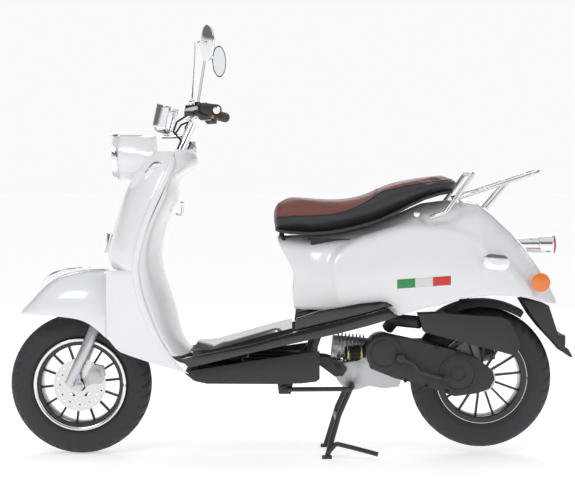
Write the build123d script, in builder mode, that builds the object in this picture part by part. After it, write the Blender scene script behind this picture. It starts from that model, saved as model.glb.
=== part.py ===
from build123d import *
import math
import os

os.makedirs("parts", exist_ok=True)

# Moped scooter, in millimetres.  +X points to the tail, -Y to the rider's left, +Z up.
# The origin is on the ground, midway along the length, on the centre line.
# It stands on its centre stand, so the front wheel is on the ground and the rear wheel just clear.

# Driving dimensions
WHEELBASE = 1224.5
FRONT_AXLE_X = -640.5
TYRE_RADIUS = 216.0
TYRE_HALF_WIDTH = 46.0
RIM_SEAT_RADIUS = 127.0
RIM_LIP_RADIUS = 141.0
REAR_WHEEL_LIFT = 19.6
SPOKE_COUNT = 14
HUB_RADIUS = 36.0
FRONT_AXLE_RADIUS = 7.5
REAR_AXLE_RADIUS = 8.0
RUNNING_CLEARANCE = 0.05
DISC_RADIUS = 80.0
DISC_THICKNESS = 3.5
DISC_FACE_Y = -48.5

RAKE_DEG = 24.0
STEERING_TOP_X = -330.5
STEERING_TOP_Z = 937.0
FORK_OFFSET = 16.0
FORK_LEG_Y = 75.0
SLIDER_RADIUS = 16.5
STANCHION_RADIUS = 13.0
FORK_TRAVEL = 50.0
CROWN_Z = 505.0

HEAD_TUBE_RADIUS = 26.0
HEAD_BORE_RADIUS = 19.0
STEM_RADIUS = 14.0
SHELL_WALL = 3.0
PANEL_GAP = 1.0

ENGINE_PIVOT_X = 149.0
ENGINE_PIVOT_Z = 263.0
ENGINE_PIN_RADIUS = 6.0

BAR_RADIUS = 11.0
GRIP_RADIUS = 16.0

SEAT_HINGE_X = -26.0
SEAT_HINGE_Z = 671.0
SEAT_PIN_RADIUS = 4.0

# Worked out from them
REAR_AXLE_X = FRONT_AXLE_X + WHEELBASE
FRONT_AXLE_Z = TYRE_RADIUS
REAR_AXLE_Z = TYRE_RADIUS + REAR_WHEEL_LIFT
RAKE = math.radians(RAKE_DEG)
STEER_UP = (math.sin(RAKE), 0.0, math.cos(RAKE))
STEER_FRONT = (-math.cos(RAKE), 0.0, math.sin(RAKE))


def steer_point(z, ahead=0.0, y=0.0):
    """A point beside the steering axis: where the axis passes height z, moved ahead at right angles."""
    run = (z - STEERING_TOP_Z) / STEER_UP[2]
    x = STEERING_TOP_X + run * STEER_UP[0] + ahead * STEER_FRONT[0]
    return (x, y, z + ahead * STEER_FRONT[2])


def bar(points, radius, bend=0.0, bore=0.0):
    """Add a round bar or pipe, straight runs joined by tangent arcs, to the part being built."""
    with BuildLine(mode=Mode.PRIVATE) as route:
        if len(points) > 2:
            FilletPolyline(*points, radius=bend)
        else:
            Line(*points)
    path = route.wire()
    with BuildSketch(Plane(origin=path @ 0, z_dir=path % 0), mode=Mode.PRIVATE) as ring:
        Circle(radius)
        if bore > 0:
            Circle(bore, mode=Mode.SUBTRACT)
    sweep(sections=ring.sketch, path=path)


def cut_bore(start, end, radius):
    """Cut a round hole from one point to another out of the part being built."""
    with BuildLine(mode=Mode.PRIVATE) as route:
        Line(start, end)
    path = route.wire()
    with BuildSketch(Plane(origin=path @ 0, z_dir=path % 0), mode=Mode.PRIVATE) as hole:
        Circle(radius)
    sweep(sections=hole.sketch, path=path, mode=Mode.SUBTRACT)


def plate(points, y_start, y_end, mode=Mode.ADD):
    """Add or cut a plate with this side outline (x, z) between two distances across the machine."""
    with BuildSketch(Plane.XZ.offset(-y_end), mode=Mode.PRIVATE) as outline:
        with BuildLine():
            Polyline(*points, close=True)
        make_face()
    extrude(outline.sketch, amount=y_end - y_start, mode=mode)


def boss(x, z, radius, y_start, y_end, mode=Mode.ADD):
    """Add or cut a round boss that runs across the machine."""
    with BuildSketch(Plane.XZ.offset(-y_end), mode=Mode.PRIVATE) as outline:
        with Locations((x, z)):
            Circle(radius)
    extrude(outline.sketch, amount=y_end - y_start, mode=mode)


def block(low, high, mode=Mode.ADD):
    """Add or cut a box between two corners."""
    size = [b - a for a, b in zip(low, high)]
    centre = [(a + b) / 2 for a, b in zip(low, high)]
    with Locations(tuple(centre)):
        Box(*size, mode=mode)


def save(builder, label):
    """Label a finished piece and write it to its own file."""
    builder.part.label = label
    export_step(builder.part, f"parts/{label}.step")


# Wheels: a tubeless tyre on a cast rim with thin spokes, and a drilled brake disc in front

BEAD_Y = 33.0
LIP_THICKNESS = 4.0
BARREL_INNER_RADIUS = RIM_SEAT_RADIUS - 8.0
TYRE_WALL = 8.0


def wheel_section(axle_x, axle_z):
    """Plane whose x runs out from the axle and whose y runs along it."""
    return Plane(origin=(axle_x, 0, axle_z), x_dir=(1, 0, 0), z_dir=(0, 0, 1))


def add_tyre(axle_x, axle_z):
    """Revolve the open tyre casing about its axle."""
    with BuildSketch(wheel_section(axle_x, axle_z), mode=Mode.PRIVATE) as casing:
        for wall, bead, mode in ((0.0, BEAD_Y, Mode.ADD), (TYRE_WALL, BEAD_Y - TYRE_WALL, Mode.SUBTRACT)):
            crown = TYRE_RADIUS - wall
            side = TYRE_HALF_WIDTH - wall
            with BuildLine():
                Line((RIM_SEAT_RADIUS, -bead), (RIM_LIP_RADIUS, -bead))
                ThreePointArc((RIM_LIP_RADIUS, -bead), (crown - 44, -side), (crown - 16, 8 - side))
                ThreePointArc((crown - 16, 8 - side), (crown, 0), (crown - 16, side - 8))
                ThreePointArc((crown - 16, side - 8), (crown - 44, side), (RIM_LIP_RADIUS, bead))
                Line((RIM_LIP_RADIUS, bead), (RIM_SEAT_RADIUS, bead))
                Line((RIM_SEAT_RADIUS, bead), (RIM_SEAT_RADIUS, -bead))
            make_face(mode=mode)
    revolve(casing.sketch, axis=Axis((axle_x, 0, axle_z), (0, 1, 0)))


def add_rim(axle_x, axle_z, hub_left, hub_right, bore):
    """Revolve the rim and its hub about the axle, and join them with spokes."""
    lip_y = BEAD_Y + LIP_THICKNESS
    with BuildSketch(wheel_section(axle_x, axle_z), mode=Mode.PRIVATE) as section:
        with BuildLine():
            Polyline(
                (RIM_SEAT_RADIUS, BEAD_Y), (RIM_LIP_RADIUS, BEAD_Y), (RIM_LIP_RADIUS, lip_y - 1.5),
                (RIM_LIP_RADIUS - 3, lip_y), (BARREL_INNER_RADIUS + 2, lip_y), (BARREL_INNER_RADIUS, lip_y - 5),
                (BARREL_INNER_RADIUS, 5 - lip_y), (BARREL_INNER_RADIUS + 2, -lip_y), (RIM_LIP_RADIUS - 3, -lip_y),
                (RIM_LIP_RADIUS, 1.5 - lip_y), (RIM_LIP_RADIUS, -BEAD_Y), (RIM_SEAT_RADIUS, -BEAD_Y), close=True)
        make_face()
    axle = Axis((axle_x, 0, axle_z), (0, 1, 0))
    revolve(section.sketch, axis=axle)
    boss(axle_x, axle_z, HUB_RADIUS, hub_left, hub_right)
    mid_radius = (HUB_RADIUS + BARREL_INNER_RADIUS) / 2
    spoke_length = BARREL_INNER_RADIUS - HUB_RADIUS + 5
    with BuildSketch(Plane(origin=(axle_x, 0, axle_z), x_dir=(1, 0, 0), z_dir=(0, -1, 0)), mode=Mode.PRIVATE) as web:
        with PolarLocations(mid_radius, SPOKE_COUNT, start_angle=6):
            Rectangle(spoke_length, 6.5)
    extrude(web.sketch, amount=8, both=True)
    boss(axle_x, axle_z, bore, hub_left - 1, hub_right + 1, mode=Mode.SUBTRACT)


with BuildPart() as front_tyre:
    add_tyre(FRONT_AXLE_X, FRONT_AXLE_Z)
save(front_tyre, "front_tyre")

with BuildPart() as rear_tyre:
    add_tyre(REAR_AXLE_X, REAR_AXLE_Z)
save(rear_tyre, "rear_tyre")

FRONT_HUB_RIGHT = 42.0
REAR_HUB_LEFT = -30.0
REAR_HUB_RIGHT = 34.0
with BuildPart() as front_rim:
    add_rim(FRONT_AXLE_X, FRONT_AXLE_Z, DISC_FACE_Y, FRONT_HUB_RIGHT, FRONT_AXLE_RADIUS + RUNNING_CLEARANCE)
save(front_rim, "front_rim")

with BuildPart() as rear_rim:
    add_rim(REAR_AXLE_X, REAR_AXLE_Z, REAR_HUB_LEFT, REAR_HUB_RIGHT, REAR_AXLE_RADIUS + RUNNING_CLEARANCE)
save(rear_rim, "rear_rim")

DISC_HOLE_ROWS = ((60.0, 12, 0.0), (68.0, 12, 15.0))
DISC_HOLE_RADIUS = 2.6
DISC_BORE_RADIUS = 20.0
DISC_SLOT_RADIUS = 36.0
with BuildPart() as front_disc:
    with BuildSketch(Plane(origin=(FRONT_AXLE_X, DISC_FACE_Y, FRONT_AXLE_Z), x_dir=(1, 0, 0), z_dir=(0, -1, 0))):
        Circle(DISC_RADIUS)
        Circle(DISC_BORE_RADIUS, mode=Mode.SUBTRACT)
        for row_radius, hole_count, first_angle in DISC_HOLE_ROWS:
            with PolarLocations(row_radius, hole_count, start_angle=first_angle):
                Circle(DISC_HOLE_RADIUS, mode=Mode.SUBTRACT)
        with PolarLocations(DISC_SLOT_RADIUS, 5, start_angle=20):
            SlotOverall(18, 7, rotation=90, mode=Mode.SUBTRACT)
    extrude(amount=DISC_THICKNESS)
save(front_disc, "front_disc")


# Telescopic fork: stanchions in the lower crown, sliders with the front axle, and the disc brake caliper

SLIDER_TOP_Z = 388.0
SLIDER_FOOT_Z = 214.0
BORE_FOOT_Z = 228.0
STANCHION_FOOT_Z = BORE_FOOT_Z + FORK_TRAVEL + 12.0
LUG_INNER_Y = FORK_LEG_Y - 9.0
LUG_OUTER_Y = FORK_LEG_Y + 9.0
AXLE_GAP = 0.5
leg_foot = steer_point(SLIDER_FOOT_Z, FORK_OFFSET)
with BuildPart() as fork_sliders:
    for side in (-1, 1):
        leg_y = side * FORK_LEG_Y
        bar([steer_point(SLIDER_FOOT_Z, FORK_OFFSET, leg_y), steer_point(SLIDER_TOP_Z, FORK_OFFSET, leg_y)],
            SLIDER_RADIUS)
        lug = sorted((side * LUG_INNER_Y, side * LUG_OUTER_Y))
        plate([(leg_foot[0] - 12, leg_foot[2] + 2), (leg_foot[0] + 4, leg_foot[2] - 14),
               (FRONT_AXLE_X + 6, FRONT_AXLE_Z - 17), (FRONT_AXLE_X + 18, FRONT_AXLE_Z),
               (FRONT_AXLE_X + 6, FRONT_AXLE_Z + 18), (leg_foot[0] + 28, leg_foot[2] + 46)], *lug)
    boss(FRONT_AXLE_X, FRONT_AXLE_Z, FRONT_AXLE_RADIUS, -LUG_OUTER_Y - 6, LUG_OUTER_Y + 6)
    boss(FRONT_AXLE_X, FRONT_AXLE_Z, 12, -LUG_INNER_Y, DISC_FACE_Y - AXLE_GAP)
    boss(FRONT_AXLE_X, FRONT_AXLE_Z, 12, FRONT_HUB_RIGHT + AXLE_GAP, LUG_INNER_Y)
    boss(FRONT_AXLE_X, FRONT_AXLE_Z, 11, -LUG_OUTER_Y - 8, -LUG_OUTER_Y)
    boss(FRONT_AXLE_X, FRONT_AXLE_Z, 11, LUG_OUTER_Y, LUG_OUTER_Y + 8)
    for side in (-1, 1):
        cut_bore(steer_point(BORE_FOOT_Z, FORK_OFFSET, side * FORK_LEG_Y),
                 steer_point(SLIDER_TOP_Z + 4, FORK_OFFSET, side * FORK_LEG_Y),
                 STANCHION_RADIUS + RUNNING_CLEARANCE)
save(fork_sliders, "fork_sliders")

CALIPER_X = FRONT_AXLE_X + 50.0
CALIPER_Z = FRONT_AXLE_Z + 34.0
CALIPER_GAP = 1.2
disc_outer_y = DISC_FACE_Y - DISC_THICKNESS
with BuildPart() as brake_caliper:
    caliper_outline = [(CALIPER_X - 18, CALIPER_Z - 26), (CALIPER_X + 14, CALIPER_Z - 30),
                       (CALIPER_X + 30, CALIPER_Z - 4), (CALIPER_X + 24, CALIPER_Z + 26),
                       (CALIPER_X - 6, CALIPER_Z + 32), (CALIPER_X - 22, CALIPER_Z + 8)]
    plate(caliper_outline, disc_outer_y - CALIPER_GAP - 22, disc_outer_y - CALIPER_GAP)
    boss(CALIPER_X, CALIPER_Z, 15, disc_outer_y - CALIPER_GAP - 30, disc_outer_y - CALIPER_GAP - 20)
    plate([(FRONT_AXLE_X + 19, FRONT_AXLE_Z - 6), (CALIPER_X + 4, CALIPER_Z - 24), (CALIPER_X - 16, CALIPER_Z + 6),
           (FRONT_AXLE_X + 12, FRONT_AXLE_Z + 19)], -LUG_INNER_Y + 0.5, -LUG_INNER_Y + 6.5)
save(brake_caliper, "brake_caliper")

# Steering: lower crown with its stem and stanchions, turning on two bearing seats in the head tube

HEAD_BOTTOM_Z = 532.0
HEAD_TOP_Z = 800.0
BEARING_LENGTH = 14.0
STEM_TOP_Z = 1014.0
CROWN_HALF_THICKNESS = 11.0
crown_plane = Plane(origin=steer_point(CROWN_Z), x_dir=STEER_FRONT, z_dir=STEER_UP)
SPEEDO_X = -373.0
SPEEDO_Z = 1063.0
SPEEDO_RADIUS = 34.5
SPEEDO_DEPTH = 84.0
SPEEDO_TILT = math.radians(14)
speedo_up = (math.sin(SPEEDO_TILT), 0, math.cos(SPEEDO_TILT))
speedo_foot = (SPEEDO_X - SPEEDO_DEPTH * speedo_up[0], 0, SPEEDO_Z - SPEEDO_DEPTH * speedo_up[2])
BRACKET_RADIUS = 6.0
with BuildPart() as steering_stem:
    with BuildSketch(crown_plane):
        Circle(24)
        with Locations((FORK_OFFSET, FORK_LEG_Y), (FORK_OFFSET, -FORK_LEG_Y)):
            Circle(19)
        with Locations((FORK_OFFSET / 2, 0)):
            Rectangle(34, 2 * FORK_LEG_Y)
    extrude(amount=CROWN_HALF_THICKNESS, both=True)
    bar([steer_point(CROWN_Z), steer_point(STEM_TOP_Z)], STEM_RADIUS)
    for seat_z in (HEAD_BOTTOM_Z, HEAD_TOP_Z - BEARING_LENGTH):
        bar([steer_point(seat_z), steer_point(seat_z + BEARING_LENGTH)], HEAD_BORE_RADIUS - RUNNING_CLEARANCE)
    for side in (-1, 1):
        bar([steer_point(STANCHION_FOOT_Z, FORK_OFFSET, side * FORK_LEG_Y),
             steer_point(CROWN_Z, FORK_OFFSET, side * FORK_LEG_Y)], STANCHION_RADIUS)
    bar([steer_point(972), (speedo_foot[0] + 2, 0, speedo_foot[2] - BRACKET_RADIUS - 5)], BRACKET_RADIUS)
save(steering_stem, "steering_stem")

with BuildPart() as speedometer:
    with BuildSketch(Plane(origin=speedo_foot, x_dir=(0, 1, 0), z_dir=(speedo_up[2], 0, -speedo_up[0]))):
        with BuildLine():
            Line((0, 0), (SPEEDO_RADIUS - 20, 0))
            RadiusArc((SPEEDO_RADIUS - 20, 0), (SPEEDO_RADIUS - 1.5, 19), -20)
            Line((SPEEDO_RADIUS - 1.5, 19), (SPEEDO_RADIUS, SPEEDO_DEPTH))
            Line((SPEEDO_RADIUS, SPEEDO_DEPTH), (SPEEDO_RADIUS - 3, SPEEDO_DEPTH))
            Line((SPEEDO_RADIUS - 3, SPEEDO_DEPTH), (SPEEDO_RADIUS - 3, SPEEDO_DEPTH - 5))
            Line((SPEEDO_RADIUS - 3, SPEEDO_DEPTH - 5), (0, SPEEDO_DEPTH - 5))
            Line((0, SPEEDO_DEPTH - 5), (0, 0))
        make_face()
    revolve(axis=Axis(speedo_foot, speedo_up))
save(speedometer, "speedometer")

# Handlebar with its clamp, switch pods, lever perches, grips and brake levers

BAR_CLAMP_Z = 1030.0
BAR_CLAMP_X = STEERING_TOP_X + 32.5
BAR_BEND_X = -252.0
BAR_BEND_Y = 215.0
BAR_BEND_Z = 1049.0
BAR_END_X = -210.0
BAR_END_Y = 330.0
BAR_END_Z = 1040.0


def bar_point(y):
    """A point on the straight outer end of the handlebar."""
    share = (abs(y) - BAR_BEND_Y) / (BAR_END_Y - BAR_BEND_Y)
    return (BAR_BEND_X + share * (BAR_END_X - BAR_BEND_X), y, BAR_BEND_Z + share * (BAR_END_Z - BAR_BEND_Z))


with BuildPart() as handlebar:
    bar([bar_point(-BAR_END_Y), bar_point(-BAR_BEND_Y), (BAR_CLAMP_X, -90, BAR_CLAMP_Z),
         (BAR_CLAMP_X, 90, BAR_CLAMP_Z), bar_point(BAR_BEND_Y), bar_point(BAR_END_Y)], BAR_RADIUS, bend=35)
    block((BAR_CLAMP_X - 20, -24, STEM_TOP_Z + 8), (BAR_CLAMP_X + 20, 24, BAR_CLAMP_Z + 17))
save(handlebar, "handlebar")

GRIP_INNER_Y = BAR_BEND_Y + 9.0
grip_outer_y = BAR_END_Y - 1.0
with BuildPart() as left_grip:
    bar([bar_point(-GRIP_INNER_Y), bar_point(-grip_outer_y)], GRIP_RADIUS, bore=BAR_RADIUS)
save(left_grip, "left_grip")

with BuildPart() as throttle_grip:
    bar([bar_point(GRIP_INNER_Y), bar_point(grip_outer_y)], GRIP_RADIUS, bore=BAR_RADIUS + RUNNING_CLEARANCE)
save(throttle_grip, "throttle_grip")

POD_OUTER_Y = BAR_BEND_Y + 1.0
POD_INNER_Y = 176.0
POD_REAR_X = -232.0
PERCH_X = -292.0
PERCH_Y = 168.0
PERCH_TOP_Z = 1060.0
LEVER_PIVOT_X = -300.0
LEVER_PIVOT_Y = 186.0
LEVER_LOW_Z = 1041.0
LEVER_THICKNESS = 8.0
LEVER_PIN_RADIUS = 3.0
BUTTON_RADIUS = 4.0
BUTTON_Y = 196.0
BUTTON_Z = 1030.0
with BuildPart() as switch_pods:
    for side in (-1, 1):
        span = sorted((side * POD_INNER_Y, side * POD_OUTER_Y))
        plate([(-278, 1034), (-268, 1064), (-244, 1066), (POD_REAR_X, 1050), (POD_REAR_X, 1016), (-262, 1014)], *span)
        perch = sorted((side * (PERCH_Y - 14), side * POD_INNER_Y))
        plate([(-312, 1028), (-312, LEVER_LOW_Z - 1), (-308, PERCH_TOP_Z), (-276, PERCH_TOP_Z), (-262, 1028)], *perch)
        ear = sorted((side * POD_INNER_Y, side * (LEVER_PIVOT_Y + 9)))
        block((-309, ear[0], LEVER_LOW_Z - 9), (-279, ear[1], LEVER_LOW_Z - 1))
        with BuildSketch(Plane.XY.offset(LEVER_LOW_Z - 2), mode=Mode.PRIVATE) as pin:
            with Locations((LEVER_PIVOT_X, side * LEVER_PIVOT_Y)):
                Circle(LEVER_PIN_RADIUS)
        extrude(pin.sketch, amount=LEVER_THICKNESS + 4)
    block((-316, 118, 1046), (-280, 153, 1082))
    block((-308, 150, 1040), (-284, 158, 1056))
    with BuildSketch(Plane.YZ.offset(POD_REAR_X - 6), mode=Mode.PRIVATE) as button_hole:
        with Locations((BUTTON_Y, BUTTON_Z)):
            Circle(BUTTON_RADIUS + 0.4)
    extrude(button_hole.sketch, amount=8, mode=Mode.SUBTRACT)
    add(handlebar.part, mode=Mode.SUBTRACT)
save(switch_pods, "switch_pods")

BUTTON_TRAVEL = 2.5
with BuildPart() as starter_button:
    with BuildSketch(Plane.YZ.offset(POD_REAR_X - 3)):
        with Locations((BUTTON_Y, BUTTON_Z)):
            Circle(BUTTON_RADIUS)
    extrude(amount=BUTTON_TRAVEL + 4)
save(starter_button, "starter_button")

with BuildPart() as turn_switch:
    block((POD_REAR_X + 0.4, -202, 1021), (POD_REAR_X + 8, -190, 1029))
save(turn_switch, "turn_switch")


def add_lever(side):
    """A flat brake lever, bored for its pin, whose blade runs out ahead of the grip."""
    with BuildSketch(Plane.XY.offset(LEVER_LOW_Z), mode=Mode.PRIVATE) as blade:
        with BuildLine():
            Polyline(*[(x, side * y) for x, y in (
                (-309, 178), (-290, 178), (-289, 200), (-282, 240), (-272, 300), (-262, 345),
                (-268, 352), (-276, 348), (-288, 300), (-298, 240), (-308, 200))], close=True)
        make_face()
        with Locations((LEVER_PIVOT_X, side * LEVER_PIVOT_Y)):
            Circle(LEVER_PIN_RADIUS + RUNNING_CLEARANCE, mode=Mode.SUBTRACT)
    extrude(blade.sketch, amount=LEVER_THICKNESS)


with BuildPart() as rear_brake_lever:
    add_lever(-1)
save(rear_brake_lever, "rear_brake_lever")

with BuildPart() as front_brake_lever:
    add_lever(1)
save(front_brake_lever, "front_brake_lever")

# Round mirrors on bent stems

MIRROR_RADIUS = 52.0
MIRROR_X = -232.0
MIRROR_Y = 380.0
MIRROR_Z = 1225.0
MIRROR_TOE = math.radians(23)
MIRROR_DEPTH = 15.0
STEM_WIRE_RADIUS = 4.2
MIRROR_STEM_X = -290.0
MIRROR_RIM = 4.0
MIRROR_PIN_RADIUS = 2.5
MIRROR_LUG_RADIUS = 6.0
MIRROR_LUG_START = 7.4
MIRROR_LUG_END = 13.4
dome_radius = (MIRROR_RADIUS ** 2 + (MIRROR_DEPTH - MIRROR_RIM) ** 2) / (2 * (MIRROR_DEPTH - MIRROR_RIM))
dome_x = MIRROR_RADIUS * 0.6
dome_y = MIRROR_DEPTH - dome_radius + math.sqrt(dome_radius ** 2 - dome_x ** 2)
for side, name in ((-1, "left"), (1, "right")):
    facing = (math.cos(MIRROR_TOE), -side * math.sin(MIRROR_TOE), 0)
    back = [c - (MIRROR_DEPTH + 9) * f for c, f in zip((MIRROR_X, side * MIRROR_Y, MIRROR_Z), facing)]

    def outboard(distance, ahead=0.0):
        """A point along the mirror's tilt pin, and that far towards its face."""
        return (back[0] + side * -facing[1] * distance + facing[0] * ahead,
                back[1] + side * facing[0] * distance + facing[1] * ahead, back[2])

    with BuildPart() as mirror_stem:
        bar([(MIRROR_STEM_X, side * PERCH_Y, PERCH_TOP_Z + 0.3), (MIRROR_STEM_X, side * PERCH_Y, PERCH_TOP_Z + 22),
             (-274, side * 296, 1228), tuple(back)], STEM_WIRE_RADIUS, bend=14)
        bar([(MIRROR_STEM_X, side * PERCH_Y, PERCH_TOP_Z + 0.3), (MIRROR_STEM_X, side * PERCH_Y, PERCH_TOP_Z + 14)], 8)
        with Locations(tuple(back)):
            Sphere(7)
        bar([tuple(back), outboard(MIRROR_LUG_END + 1.6)], MIRROR_PIN_RADIUS)
    save(mirror_stem, f"mirror_stem_{name}")
    with BuildPart() as mirror:
        mirror_centre = (MIRROR_X, side * MIRROR_Y, MIRROR_Z)
        with BuildSketch(Plane(origin=mirror_centre, x_dir=(0, 0, 1), z_dir=(facing[1], -facing[0], 0))):
            with BuildLine():
                Line((0, 0), (MIRROR_RADIUS, 0))
                Line((MIRROR_RADIUS, 0), (MIRROR_RADIUS, MIRROR_RIM))
                ThreePointArc((MIRROR_RADIUS, MIRROR_RIM), (dome_x, dome_y), (0, MIRROR_DEPTH))
                Line((0, MIRROR_DEPTH), (0, 0))
            make_face()
        revolve(axis=Axis(mirror_centre, facing))
        bar([outboard(MIRROR_LUG_START), outboard(MIRROR_LUG_END)], MIRROR_LUG_RADIUS)
        lug_middle = (MIRROR_LUG_START + MIRROR_LUG_END) / 2
        bar([outboard(lug_middle, MIRROR_PIN_RADIUS + 1), outboard(lug_middle, 12)], 2.6)
        cut_bore(outboard(MIRROR_LUG_START - 1), outboard(MIRROR_LUG_END + 1), MIRROR_PIN_RADIUS + RUNNING_CLEARANCE)
    save(mirror, f"mirror_{name}")

CABLE_RADIUS = 3.0
CABLE_ROUTES = (
    ((-300, -147, 1034), (-338, -118, 1012), (-352, -62, 984), (-330, -24, 958), (-342, -22, 930)),
    ((-300, 146, 1028), (-340, 112, 1010), (-354, 58, 982), (-332, 22, 956), (-344, 20, 928)),
    ((-300, 138, 1040), (-326, 96, 1002), (-318, 44, 972), (-306, 22, 950), (-318, 16, 922)),
)
with BuildPart() as control_cables:
    for route_points in CABLE_ROUTES:
        bar(route_points, CABLE_RADIUS, bend=10)
save(control_cables, "control_cables")


# Welded tube frame: head tube, down tube, floor and seat rails, cross tubes and the engine hanger ears

SPINE_RADIUS = 18.0
RAIL_RADIUS = 13.0
RAIL_Y = 95.0
FLOOR_RAIL_Z = 292.0
EAR_INNER_Y = 50.0
EAR_OUTER_Y = 57.0
SHOCK_TOP_X = 505.0
SHOCK_TOP_Z = 622.0
SHOCK_Y = 85.0
SHOCK_FOOT_X = 566.0
SHOCK_FOOT_Z = 338.0
SHOCK_PIN_RADIUS = 5.0
SIDE_STAND_X = -18.0
SIDE_STAND_Z = 211.0
SIDE_STAND_Y = -118.0
STAND_PIN_RADIUS = 5.0
RAIL_ROUTE = ((-140, FLOOR_RAIL_Z), (55, FLOOR_RAIL_Z), (118, 480), (215, 610), (545, 655))
with BuildPart() as frame:
    bar([steer_point(HEAD_BOTTOM_Z), steer_point(HEAD_TOP_Z)], HEAD_TUBE_RADIUS)
    bar([steer_point(655), (-388, 0, 470), (-352, 0, FLOOR_RAIL_Z), (-130, 0, FLOOR_RAIL_Z)], SPINE_RADIUS, bend=45)
    for side in (-1, 1):
        bar([(x, side * RAIL_Y, z) for x, z in RAIL_ROUTE], RAIL_RADIUS, bend=45)
        ear = sorted((side * EAR_INNER_Y, side * EAR_OUTER_Y))
        plate([(30, 278), (30, 306), (110, 300), (160, 284), (172, 262), (160, 244), (136, 242), (90, 276)], *ear)
    bar([(-138, -RAIL_Y, FLOOR_RAIL_Z), (-138, RAIL_Y, FLOOR_RAIL_Z)], 11)
    bar([(45, -RAIL_Y, FLOOR_RAIL_Z), (45, RAIL_Y, FLOOR_RAIL_Z)], 11)
    bar([(275, -RAIL_Y, 618), (275, RAIL_Y, 618)], 9)
    bar([(538, -RAIL_Y, 654), (538, RAIL_Y, 654)], 9)
    for side in (-1, 1):
        bar([(110, side * RAIL_Y, 465), (14, side * 77, 590), (SEAT_HINGE_X, side * 48, SEAT_HINGE_Z)], 6, bend=30)
    bar([(SEAT_HINGE_X, -50, SEAT_HINGE_Z), (SEAT_HINGE_X, 50, SEAT_HINGE_Z)], SEAT_PIN_RADIUS)
    boss(ENGINE_PIVOT_X, ENGINE_PIVOT_Z, ENGINE_PIN_RADIUS, -EAR_OUTER_Y - 6, EAR_OUTER_Y + 6)
    plate([(SHOCK_TOP_X - 14, 655), (SHOCK_TOP_X + 16, 655), (SHOCK_TOP_X + 12, SHOCK_TOP_Z - 12),
           (SHOCK_TOP_X - 12, SHOCK_TOP_Z - 12)], SHOCK_Y + 13, SHOCK_Y + 19)
    boss(SHOCK_TOP_X, SHOCK_TOP_Z, SHOCK_PIN_RADIUS, SHOCK_Y - 12, SHOCK_Y + 16)
    plate([(-46, 282), (20, 282), (2, 196), (-34, 196)], SIDE_STAND_Y + 8, SIDE_STAND_Y + 14)
    bar([(-13, -RAIL_Y, FLOOR_RAIL_Z - 6), (-13, SIDE_STAND_Y + 10, FLOOR_RAIL_Z - 12)], 7)
    boss(SIDE_STAND_X, SIDE_STAND_Z, STAND_PIN_RADIUS, SIDE_STAND_Y - 10, SIDE_STAND_Y + 10)
    cut_bore(steer_point(HEAD_BOTTOM_Z - 5), steer_point(HEAD_TOP_Z + 5), HEAD_BORE_RADIUS)
save(frame, "frame")


# Body panels: thin shells, each lofted through plain sections

def arch(x, half_width, low, top, inset=0.0, crown=0.6):
    """An arched section across the machine at x, drawn in by a wall's thickness."""
    w = half_width - inset
    crest = top - inset
    foot = low - 2 * inset
    shoulder = foot + (crest - foot) * 0.75
    with BuildSketch(Plane.YZ.offset(x), mode=Mode.PRIVATE) as section:
        with BuildLine():
            Bezier((w, foot), (w, shoulder), (w * crown, crest), (0, crest))
            Bezier((0, crest), (-w * crown, crest), (-w, shoulder), (-w, foot))
            Line((-w, foot), (w, foot))
        make_face()
    return section.sketch


def bow(z, crest, edge, half_width, inset=0.0):
    """A level section at height z, bowed from its two edges out to a crest on the centre line."""
    out = 1 if crest > edge else -1
    tip = crest - out * inset
    root = edge - out * 2 * inset
    w = half_width - inset
    bulge = root + (tip - root) * 0.55
    with BuildSketch(Plane.XY.offset(z), mode=Mode.PRIVATE) as section:
        with BuildLine():
            Bezier((root, -w), (bulge, -w), (tip, -w * 0.55), (tip, 0))
            Bezier((tip, 0), (tip, w * 0.55), (bulge, w), (root, w))
            Line((root, w), (root, -w))
        make_face()
    return section.sketch


FENDER_REAR_X = -549.0
FENDER_STATIONS = (
    (-820, 50, 428, 436), (-796, 84, 436, 466), (-765, 105, 436, 500), (-728, 122, 434, 533), (-690, 132, 431, 552),
    (-640, 140, 425, 563), (-590, 146, 404, 567.5), (FENDER_REAR_X, 152, 370, 562))
with BuildPart() as front_fender:
    loft(sections=[arch(x, w, low, top) for x, w, low, top in FENDER_STATIONS])
    inner = [(x + (SHELL_WALL if i == 0 else 0), w, low, top) for i, (x, w, low, top) in enumerate(FENDER_STATIONS)]
    loft(sections=[arch(x, w, low, top, SHELL_WALL) for x, w, low, top in inner], mode=Mode.SUBTRACT)
save(front_fender, "front_fender")

# Heights, front crest, seam and half width of the leg shield above the fender
SHIELD_STATIONS = (
    (572, -540, -451, 190), (610, -556, -450, 190), (671, -545, -434, 187), (747, -523, -404, 180),
    (827, -492, -368, 166), (880, -462, -351, 146), (925, -425, -346, 112))
SKIRT_STATIONS = ((266, -300, 182), (300, -336, 186), (377, -389, 189), (460, -431, 190), (533, -448, 190), (572, -451, 190))
POD_RADIUS = 69.0
POD_CENTRE_Z = 907.0
POD_FRONT_X = -520.0
SKIRT_FRONT_Y = 152.0
SKIRT_LOWER_EDGE = ((-560, 380), (-539, 362), (-521, 340), (-506, 328), (-476, 317), (-416, 299), (-357, 282),
                    (-290, 262))


def skirt(z, edge, half_width, inset=0.0):
    """A level section through both side skirts, from the fender's rear edge to the seam."""
    front = FENDER_REAR_X + PANEL_GAP - 2 * inset
    rear = edge + 2 * inset
    near = SKIRT_FRONT_Y - inset
    far = half_width - inset
    middle = (front + rear) / 2
    with BuildSketch(Plane.XY.offset(z), mode=Mode.PRIVATE) as section:
        with BuildLine():
            Bezier((front, -near), (middle, -near - 8), (middle + 20, -far), (rear, -far))
            Line((rear, -far), (rear, far))
            Bezier((rear, far), (middle + 20, far), (middle, near + 8), (front, near))
            Line((front, near), (front, -near))
        make_face()
    return section.sketch


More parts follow.
